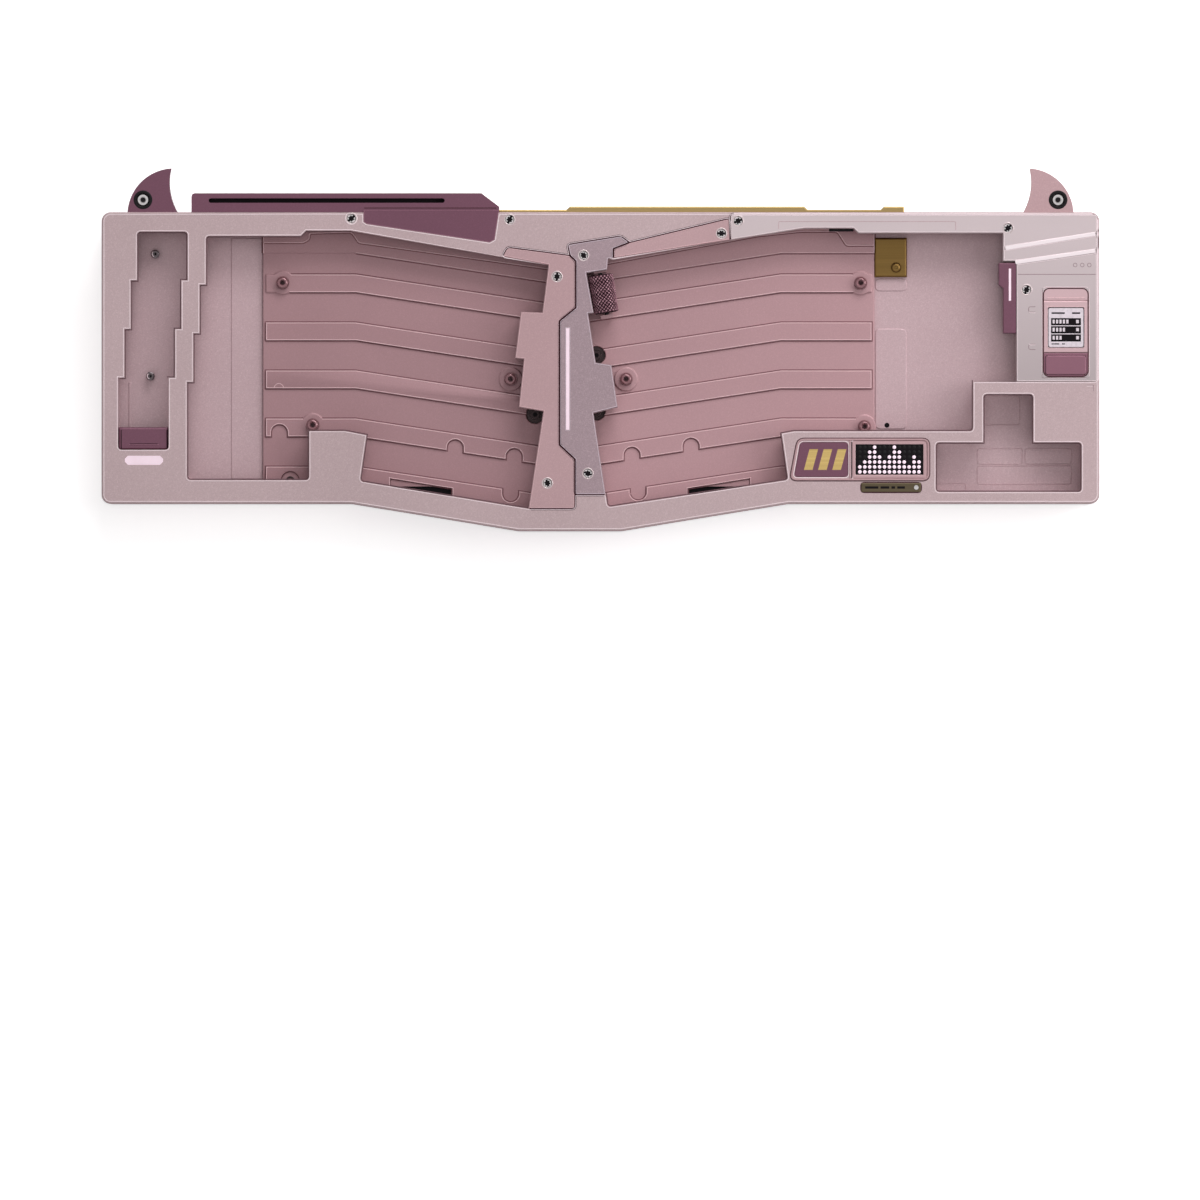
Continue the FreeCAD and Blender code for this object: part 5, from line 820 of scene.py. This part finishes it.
def make_tray_relief():
    """Low plates and lines cast into the tray floors, and black pieces in the holes and vents beside them as
    painted shade.
    """
    plates, lines, holes = Shape(), Shape(), Shape()
    tray = level(114.0, 0.0)
    for outline, floor, thick in (
            (box(-146.4, 44.6, -134.1, -50.8), level(-140.0, 0.0), 0.3),
            (round_off(box(109.0, 8.8, 121.4, -31.0), 2.2, closed=True), tray, 0.35),
            (round_off(box(109.0, 28.6, 121.4, 23.8), 1.8, closed=True), tray, 0.35),
            (box(-187.1, -12.4, -185.9, -33.2), level(-180.0, -20.0), 0.4)):
        plates.prism(outline, floor - 0.1, floor + thick)
    plates.done("tray_plates", "shell_light", edge=0.25)
    floor = level(160.0, -46.0)
    for edges in ((151.9, -18.0, 166.2, -29.3), (149.5, -38.7, 167.3, -44.9), (168.4, -38.7, 186.8, -44.9),
                  (149.5, -45.6, 186.8, -52.9), (133.4, -52.6, 145.0, -55.6)):
        lines.ridge(round_off(box(*edges), 1.2, closed=True), 0.5, floor, 0.14, closed=True)
    lines.ridge(round_off([(70.4, 47.9), (70.4, 50.8), (140.4, 50.8), (140.4, 47.4)], 0.6), 0.35, 0.0, 0.07)
    lines.done("relief_lines", "shell_light")
    # Painted shade: black pieces fill a hole, a slot and the two vents.
    top = level(113.6, -29.5)
    holes.disc(113.6, -29.5, 1.0, top - 0.1, top + 0.04)
    holes.prism(box(90.3, 47.95, 100.1, 46.9, 0.4), -2.4, -1.2)
    for outline in twins((-83.2, -51.0), (-59.0, -54.9), (-59.0, -59.2), (-83.2, -55.3)):
        holes.prism(outline, VENT_FLOOR, VENT_TOP)
    holes.done("hole_shades", "ink")
    # The vent webs take the paint of the bed beside them, on the left its painted shade.
    for finish, corner, tip in zip(
            ("bed_left", "bed"), twins((-83.9, -50.3), (-63.2, -53.8), (-83.9, -53.8)),
            twins((-58.4, -53.6), (-60.6, -53.6), (-59.1, -54.6), (-58.4, -56.0))):
        web = Shape()
        web.prism(corner, VENT_TOP, -11.9)
        web.prism(tip, VENT_TOP, -11.92)
        web.done("vent_web_" + finish, finish)


def make_side_marks():
    """Painted highlights on two chamfers, the seam and small generic marks of the glossy right panel, with
    painted glints on the marks.
    """
    bright, marks, glints = Shape(), Shape(), Shape()
    # Painted highlights of two polished chamfers.
    for line in ([(160.0, 40.2), (195.6, 45.9)], [(164.0, 34.6), (195.6, 39.2)]):
        right, left = offset(line, 0.75, closed=False), offset(line, -0.75, closed=False)
        bright.prism(right + left[::-1], -0.15, 0.1)
    bright.done("panel_chamfer_highlights", "ribbon", edge=0.08)
    marks.ridge([(164.8, 29.9), (196.0, 29.9)], 0.35, 0.0, 0.04)
    for y in (15.0, 0.2):
        points = [(171.9, y), (169.2, y), (169.2, y + 2.1), (171.9, y + 2.1)]
        marks.ridge(round_off(points, 0.9), 0.3, 0.0, 0.05)
    for x in (187.6, 190.4, 193.2):
        marks.ridge(arc(x, 33.6, 0.75, 0, 330, 10), 0.28, 0.0, 0.05, closed=True)
    marks.ridge([(192.2, -13.9), (194.8, -13.9), (194.8, -16.2)], 0.3, 0.0, 0.05)
    marks.done("panel_marks", "mark")
    # Painted glints on the marks.
    for y in (14.72, 2.0):
        glints.ridge([(171.9, y), (169.9, y), (169.4, y + 0.4)], 0.36, 0.0, 0.06)
    glints.ridge([(192.2, -14.25), (194.5, -14.25)], 0.34, 0.0, 0.06)
    glints.done("panel_mark_glints", "edge")


def make_display_face():
    """Screen picture of generic bars, the cap line and the rims of the display module."""
    screen = level(184.0, 9.0)
    face, rows, bars = (Shape(base=screen) for _ in range(3))
    face.prism(round_off(box(177.1, 16.6, 190.9, 1.2), 0.8, closed=True), 0.0, 0.02)
    face.done("screen_face", "screen")
    for index in range(3):
        rear = 12.6 - 3.2 * index
        rows.prism(box(178.1, rear, 189.9, rear - 2.85), 0.02, 0.04)
        for place in range(5 - index):
            left = 178.7 + 1.35 * place
            bars.prism(box(left, rear - 0.6, left + 0.85, rear - 2.1), 0.04, 0.055)
        bars.prism(box(188.0, rear - 0.7, 189.1, rear - 2.0), 0.04, 0.055)
    for left, rear, wide, deep in ((178.3, 14.9, 5.2, 0.6), (186.4, 14.9, 3.2, 0.6), (178.3, 2.6, 3.0, 0.4),
                                   (182.4, 2.6, 1.2, 0.4), (178.3, 2.6, 2.2, 0.4)):
        rows.prism(box(left, rear, left + wide, rear - deep), 0.02, 0.04)
    rows.done("screen_rows", "ink")
    bars.done("screen_bars", "screen")
    top = level(184.0, 22.8)
    rims, outer, corners, surround = (Shape() for _ in range(4))
    # Painted highlights along the cap line and round the screen.
    rims.ridge([(176.3, 20.6), (191.5, 20.6)], 0.4, top, 0.12)
    rims.ridge(round_off(box(176.6, 17.1, 191.4, 0.7), 1.0, closed=True), 0.35, top, 0.1, closed=True)
    rims.done("display_rims", "bright")
    left, rear, right, front = 174.95, 24.45, 192.85, -10.65

    def frame_line(out, radius=0.0):
        """The module's outline, grown by a little."""
        return box(left - out, rear + out, right + out, front - out, radius)

    outline = frame_line(0.1, 2.5)
    outer.ring(outline, frame_line(-0.35, 2.1), -0.1, top + 0.04)
    outer.ridge([(left + 0.4, -0.95), (right - 0.4, -0.95)], 0.45, top, 0.06)
    outer.done("display_outline", "seam")
    for index, corner in enumerate(frame_line(0.15)):
        corners.prism([corner] + outline[7 * index:7 * index + 7][::-1], -0.1, top + 0.05)
    corners.done("display_corners", "glossy")
    surround.ring(box(left + 0.35, -1.2, right - 0.35, front + 0.35, 2.0),
                  box(175.75, -2.05, 192.05, -9.85, 0.6), top - 0.1, top + 0.04)
    for near, far in ((left + 0.35, left + 2.6), (right - 2.6, right - 0.35)):
        surround.prism(box(near, -1.2, far, -2.05), top - 0.1, top + 0.03)
    for near in (left + 0.35, right - 0.8):
        surround.prism(box(near, -1.6, near + 0.45, -4.0), top - 0.1, top + 0.02)
    surround.done("button_surround", "button")


def make_matrix_face():
    """Lit and unlit dots of the matrix, showing a plain level meter, in the common frame."""
    lit, unlit, back, rims, lines, tag = (Shape() for _ in range(6))
    left, rear, right, front = 100.8, -37.3, 127.6, -49.3
    levels = (2, 3, 5, 6, 4, 3, 4, 6, 5, 3, 2, 4, 3)
    pitch, rows = 1.95, 6
    top = level(114.2, -43.3)
    back.prism(box(left, rear, right, front), top, top + 0.02)
    back.done("matrix_back", "ink")
    for column, lights in enumerate(levels):
        for row in range(rows):
            x = (left + right) / 2 + pitch * (column - (len(levels) - 1) / 2)
            y = (rear + front) / 2 + pitch * (row - (rows - 1) / 2)
            dots = lit if row < lights else unlit
            dots.turned(x, y, top, [(0.7, 0), (0.7, 0.06), (0.5, 0.16), (0, 0.2)], steps=16)
    lit.done("matrix_lit", "dots", smooth=True)
    unlit.done("matrix_unlit", "dark", smooth=True)
    frame_line = round_off([(78.2, -35.4), (75.2, -51.2), (129.6, -51.2), (129.6, -35.4)], 2.4, closed=True)
    rims.ridge(frame_line, 0.9, 0.0, 0.35, closed=True)
    rims.ridge([(98.6, -36.0), (98.6, -50.8)], 0.7, 0.0, 0.3)
    rims.done("badge_rims", "pink")
    lines.ridge(offset(frame_line, 0.6), 0.4, 0.0, 0.08, closed=True)
    lines.ridge([(99.25, -36.2), (99.25, -50.6)], 0.4, 0.0, 0.32)
    lines.done("badge_lines", "seam")
    x, face = 104.6, level(110.0, -54.3)
    for wide in (5.2, 3.4, 1.4, 3.0):
        tag.prism(box(x, -53.9, x + wide, -54.8), face - 0.05, face + 0.03)
        x += wide + 0.9
    tag.done("tag_bars", "ink")


def make_roller_skin():
    """Roller with a diamond knurl in place of the plain solid, with painted shade in the knurl's valleys."""
    half, radius, depth, turn = 7.6, 4.9, 0.6, radians(9.0)
    around, along, waves_around, waves_along = 160, 80, 10, 5.0
    axis = ACROSS * sin(turn) - ALONG * cos(turn)
    side = axis.cross(OUT).normalized()
    middle = deck(*ROLLER_SPOT, -4.5)
    shape = Shape()

    def circle(run, plain=None):
        """One loop round the axis, with the knurl's radii unless a plain one is given."""
        wave = tau * waves_along * (run + half) / (2 * half)
        loop = []
        for j in range(around):
            angle = tau * j / around
            lands = min(abs(sin(angle * waves_around + way * wave)) for way in (1, -1))
            reach = plain or radius - depth + depth * min(1.0, 1.6 * lands)
            arm = side * cos(angle) + OUT * sin(angle)
            loop.append(shape.mesh.verts.new(middle + (axis * run + arm * reach) * MM))
        return loop

    loops = [circle(-half, 0.85), circle(-half, radius - 0.9)]
    loops += [circle((half - 0.3) * (2 * i / along - 1)) for i in range(along + 1)]
    loops += [circle(half, radius - 0.9), circle(half, 0.85)]
    shape.wrap(loops)
    line = middle - axis * half * MM
    # Painted shade: faces deep in the knurl take the dark groove paint.
    for face in shape.mesh.faces:
        arm = face.calc_center_median() - line
        reach = (arm - axis * arm.dot(axis)).length / MM
        face.material_index = 1 if reach < radius - depth * 0.42 else 0
    skin = shape.done("roller_skin", "knurl", body="wheel", replaces="roller")
    skin.data.materials.append(MATERIALS["groove"])


def make_column_marks():
    """Groove across the plum button, a painted highlight along its rear edge, and painted shade on its
    rounded sides.
    """
    shape = Shape()
    top = level(-180.0, -35.0)
    shape.ridge([(-186.4, -37.4), (-174.6, -37.4)], 0.35, top, 0.06)
    shape.ridge([(-189.0, -31.2), (-171.8, -31.2)], 0.3, top, 0.05)
    shape.done("column_marks", "plum_bright", body="column_key")
    # Painted shade on the button's rounded sides.
    sides = Shape()
    for x in (-189.5, -171.4):
        sides.ridge([(x, -31.6), (x, -39.0)], 0.6, top, 0.04)
    sides.done("column_sides", "groove", body="column_key")


def make_under_edges():
    """Painted highlights along the edges, and dark joint lines, of the plates let into the underside."""
    for name, finish in (("rear_cover", "bright"), ("weight_plate", "gold_highlight"), ("bottom_case", "edge")):
        outlines = [outline for outline in face_outlines(name, beneath, 0.0) if girth(outline) > 60.0]
        # The first layer is painted highlight; the second is the dark joint.
        layers = [("_edges", finish, -0.25, 0.36, 0.07), ("_seam", "seam", 0.1, 0.4, 0.015)]
        for suffix, look, shift, width, height in layers[:1] if name == "bottom_case" else layers:
            shape = Shape(beneath)
            for outline in outlines:
                shape.ridge(straightened(offset(outline, shift)), width, 0.0, height, closed=True)
            shape.done(name + suffix, look)


def make_under_marks():
    """Raised marks, lines and frames of the underside, with painted highlights and painted shade along their
    edges.
    """
    marks, fills, glints, strokes, lines, rails, brass, slope, frames = (Shape(beneath) for _ in range(9))
    for side in (-1, 1):
        x = 140.0 * side
        face = level_beneath(x + 4.0 * side, 27.6)
        strokes.ridge(mirrored(x, (4.2, 29.0), (3.4, 28.2), (1.0, 26.9)), 0.5, face, 0.14)
        strokes.ridge(mirrored(x, (4.2, 29.0), (2.4, 29.7)), 0.35, face, 0.08)
        marks.ridge(mirrored(x, (3.2, 27.6), (1.0, 26.4)), 0.35, face, 0.1)
        face = level_beneath(x, -4.6)
        fills.prism([(x - 3.6, -4.9), (x + 3.6, -4.9), (x, -2.4)], face - 0.05, face + 0.16)
        glints.ridge(mirrored(x, (4.2, -5.5)), 0.8, face, 0.26)
        strokes.ridge(mirrored(x, (4.3, -4.8), (0.6, -2.5)), 0.5, face, 0.2)
        strokes.ridge(mirrored(x, (4.3, -12.2), (4.3, -10.5)), 0.45, face, 0.28)
        fills.prism(box(x - 4.0, -10.8, x + 4.0, -12.4), face - 0.05, face + 0.16)
        marks.ridge(box(x - 4.3, -10.6, x + 4.3, -12.9, 0.4), 0.5, face, 0.24, closed=True)
        x = 166.6 * side
        face = level_beneath(x, 9.5)
        fills.prism(box(x - 4.0, 10.2, x + 4.0, 8.8), face - 0.05, face + 0.12)
        strokes.ridge(mirrored(x, (4.4, 8.9), (4.4, 10.5)), 0.4, face, 0.26)
        marks.ridge(box(x - 4.4, 10.4, x + 4.4, 8.4, 0.4), 0.45, face, 0.22, closed=True)
        frame_line = round_off([(187.2, -23.8), (187.2, -26.0), (179.7, -26.0), (179.7, -23.8)], 0.6)
        for x, y, points in ((183.5, -24.0, frame_line),
                             (180.2, -17.0, [(184.2, -16.6), (178.8, -16.6), (180.6, -17.9)]),
                             (180.7, -10.4, [(183.4, -10.0), (181.4, -11.2), (178.6, -10.0)])):
            marks.ridge([(a * side, b) for a, b in points], 0.35, level_beneath(x * side, y), 0.1)
    # Bright marks and glints are painted highlights; the strokes are painted shade.
    marks.done("under_marks", "bright")
    glints.done("under_glints", "edge")
    strokes.done("under_strokes", "shadow")
    fills.done("under_mark_fills", "mark_fill")
    points = [(-83.0, 15.2), (-83.0, 17.6), (-76.5, 20.3), (75.3, 20.3), (82.6, 17.6), (82.6, 15.2)]
    lines.ridge(round_off(points, 2.2), 0.45, level_beneath(0.0, 18.0), 0.08)
    lines.done("cover_line", "pink")
    outline = round_off(box(-64.5, -26.9, 64.5, -28.4), 0.7, closed=True)
    rails.ridge(outline, 0.45, level_beneath(0.0, -27.5), 0.14, closed=True)
    rails.ridge(mirrored(0.0, (190.3, -14.4), (190.3, -32.7)), 0.35, level_beneath(0.0, -34.0), 0.07)
    for x in (-169.8, 169.8):
        for y in (26.6, -51.3):
            outline = box(x - 15.7, y + 3.75, x + 15.7, y - 3.75, 3.7, 10)
            rails.ridge(outline, 0.45, level_beneath(x - 16.2, y), 0.14, closed=True)
    # Bright rails: painted highlights round the feet and along the cover.
    rails.done("under_rails", "edge")
    outline = round_off(box(-39.4, 41.2, 39.4, 38.8), 1.1, closed=True)
    brass.ridge(outline, 0.5, level_beneath(0.0, 39.9), 0.16, closed=True)
    for x, reach in ((-113.6, 2.4), (112.0, -2.4)):
        corners = [(x - reach, 54.9), (x + reach, 54.9), (x + reach, 51.0)]
        brass.ridge(corners, 0.5, level_beneath(x, 53.6), 0.12, closed=True)
    # Bright groove lines on the bumper: painted highlights.
    brass.done("bumper_groove", "gold_highlight")
    # Bright strip on the bumper's slope: painted highlight.
    slope.prism(box(-116.6, 45.0, 116.6, 44.9), 0.0, -3.12, box(-113.8, 48.5, 113.8, 48.4))
    slope.ridge(mirrored(0.0, (117.0, 44.55)), 0.35, 0.0, 0.1)
    slope.done("bumper_slope", "brass_highlight")
    for outline in face_outlines("weight_inlay", beneath):
        frames.ridge(round_off(offset(outline, 0.7), 0.8, closed=True), 0.9, 0.0, 0.2, closed=True)
    frames.done("inlay_frames", "gold")


def make_under_screws():
    """Dark collars and sockets of the screws on the underside."""
    collars, drives = Shape(beneath), Shape(beneath)
    for index, (x, y) in enumerate(CORNER_SCREWS + COVER_SCREWS):
        reach = 2.5 if index < len(CORNER_SCREWS) else 2.0
        face = level_beneath(x - copysign(reach + 0.6, x), y)
        head = level_beneath(x + 1.3, y)
        collars.turned(x, y, face, [(1.78, head - face - 0.2), (1.8, 0.02), (2.0, 0.06), (reach - 0.1, 0.06),
                                    (reach, 0), (reach, -0.2)], hollow=True)
        add_drive(drives, x, y, 35 + 31 * index, 1.2, (1.6, 0.32), head - 0.1, head + 0.03)
    collars.done("under_screw_collars", "dark", smooth=True)
    drives.done("under_screw_drives", "dark")


def make_lip_scoops():
    """Black pieces in the two finger scoops of the front lip: painted shade."""
    shape = Shape(beneath)
    for outline in twins((59.0, -61.6), (50.0, -62.4), (40.0, -64.6), (29.0, -66.4), (40.0, -65.8),
                         (50.0, -63.8), (59.0, -62.2)):
        shape.prism(outline, -3.5, -3.3)
    shape.done("lip_scoop_shades", "dark")


def make_latch_pads():
    """Thumb pads with a pointer notch, on the two releases."""
    for body, x in LATCHES.items():
        y = 12.0
        face = level_beneath(x, y)
        pad, notch = Shape(beneath, face), Shape(beneath, face)
        pad.prism(box(x - 4.7, y + 10.0, x + 4.7, y - 10.0, 4.6, 10), -0.05, 0.75)
        pad.done(body + "_pad", "plum_pad", body=body, edge=0.25)
        notch.prism([(x - 1.3, y + 9.4), (x, y + 7.9), (x + 1.3, y + 9.4)], 0.6, 0.82)
        notch.done(body + "_notch", "plum_bright", body=body)


def make_camera():
    """Long lens, straight onto the deck, framed as the photograph's upper view."""
    frame_mm = PHOTO_SIDE / PIXELS_PER_MM
    x = (PHOTO_SIDE / 2 - PHOTO_CENTRE[0]) / PIXELS_PER_MM
    y = (PHOTO_CENTRE[1] - PHOTO_SIDE / 2) / PIXELS_PER_MM
    camera = put("Camera", bpy.data.cameras.new("Camera"))
    camera.data.sensor_width = 36.0
    camera.data.lens = 300.0
    distance = frame_mm * camera.data.lens / camera.data.sensor_width
    camera.matrix_world = Matrix.Translation(deck(x, y, distance)) @ Matrix.Rotation(TILT, 4, "X")
    camera.data.clip_end = 20.0
    bpy.context.scene.camera = camera


def area_light(name, place, target, size, power):
    light = bpy.data.lights.new(name, "AREA")
    light.shape = "RECTANGLE"
    light.size, light.size_y = size
    light.energy = power
    lamp = put(name, light)
    lamp.location = place
    lamp.rotation_euler = (Vector(target) - Vector(place)).to_track_quat("-Z", "Y").to_euler()


def make_light():
    """Soft studio: a broad overhead panel, a side panel on the right and a low fill."""
    area_light("rear_key", (0.35, 0.95, 0.95), (0, 0, 0), (1.1, 0.5), 12.5)
    area_light("right_side", (1.1, 0.1, 0.75), (0.1, 0, 0), (0.6, 0.8), 6.0)
    area_light("front_fill", (-0.5, -1.1, 1.0), (0, 0, 0), (1.2, 0.6), 1.2)
    world = bpy.data.worlds.new("studio")
    bpy.context.scene.world = world
    world.use_nodes = True
    tree = world.node_tree
    join = tree.links.new
    back = tree.nodes["Background"]
    fill(back, Color=(1.0, 0.985, 0.99, 1.0), Strength=0.26)
    seen = tree.nodes.new("ShaderNodeBackground")
    fill(seen, Color=(1.0, 1.0, 1.0, 1.0), Strength=1.0)
    path = tree.nodes.new("ShaderNodeLightPath")
    shown = path.outputs["Is Camera Ray"]
    for kind in ("Is Transmission Ray", "Is Glossy Ray"):
        either = tree.nodes.new("ShaderNodeMath")
        either.operation = "MAXIMUM"
        join(shown, either.inputs[0])
        join(path.outputs[kind], either.inputs[1])
        shown = either.outputs["Value"]
    mix = tree.nodes.new("ShaderNodeMixShader")
    join(shown, mix.inputs["Fac"])
    join(back.outputs["Background"], mix.inputs[1])
    join(seen.outputs["Background"], mix.inputs[2])
    join(mix.outputs["Shader"], tree.nodes["World Output"].inputs["Surface"])


def make_floor():
    """Plain pale floor. Seen directly it is near white, and it keeps the shadow."""
    side = 6.0
    mesh = bpy.data.meshes.new("floor")
    floor = put("floor", mesh)
    corners = [(-side, -side, 0), (side, -side, 0), (side, side, 0), (-side, side, 0)]
    mesh.from_pydata(corners, [], [(0, 1, 2, 3)])
    n = Nodes("floor")
    fill(n.shader, Base_Color=(0.9, 0.89, 0.89, 1.0), Roughness=0.9, Emission_Color=(1.0, 1.0, 1.0, 1.0))
    glow = n.add("ShaderNodeMath", operation="MULTIPLY")
    glow.inputs[1].default_value = 0.62
    n.join(n.add("ShaderNodeLightPath").outputs["Is Camera Ray"], glow.inputs[0])
    n.feed("Emission Strength", glow.outputs["Value"])
    mesh.materials.append(MATERIALS["floor"])


make_camera()
make_light()
dress_nodes()
make_corner_fills()
make_seams()
make_edge_beads()
make_rim_shades()
make_screw_faces()
make_horn_collars()
make_bosses()
make_rib_edges()
make_tray_relief()
make_side_marks()
make_display_face()
make_matrix_face()
make_roller_skin()
make_column_marks()
make_under_edges()
make_under_marks()
make_under_screws()
make_lip_scoops()
make_latch_pads()
make_floor()

bpy.context.scene.view_settings.view_transform = "Standard"
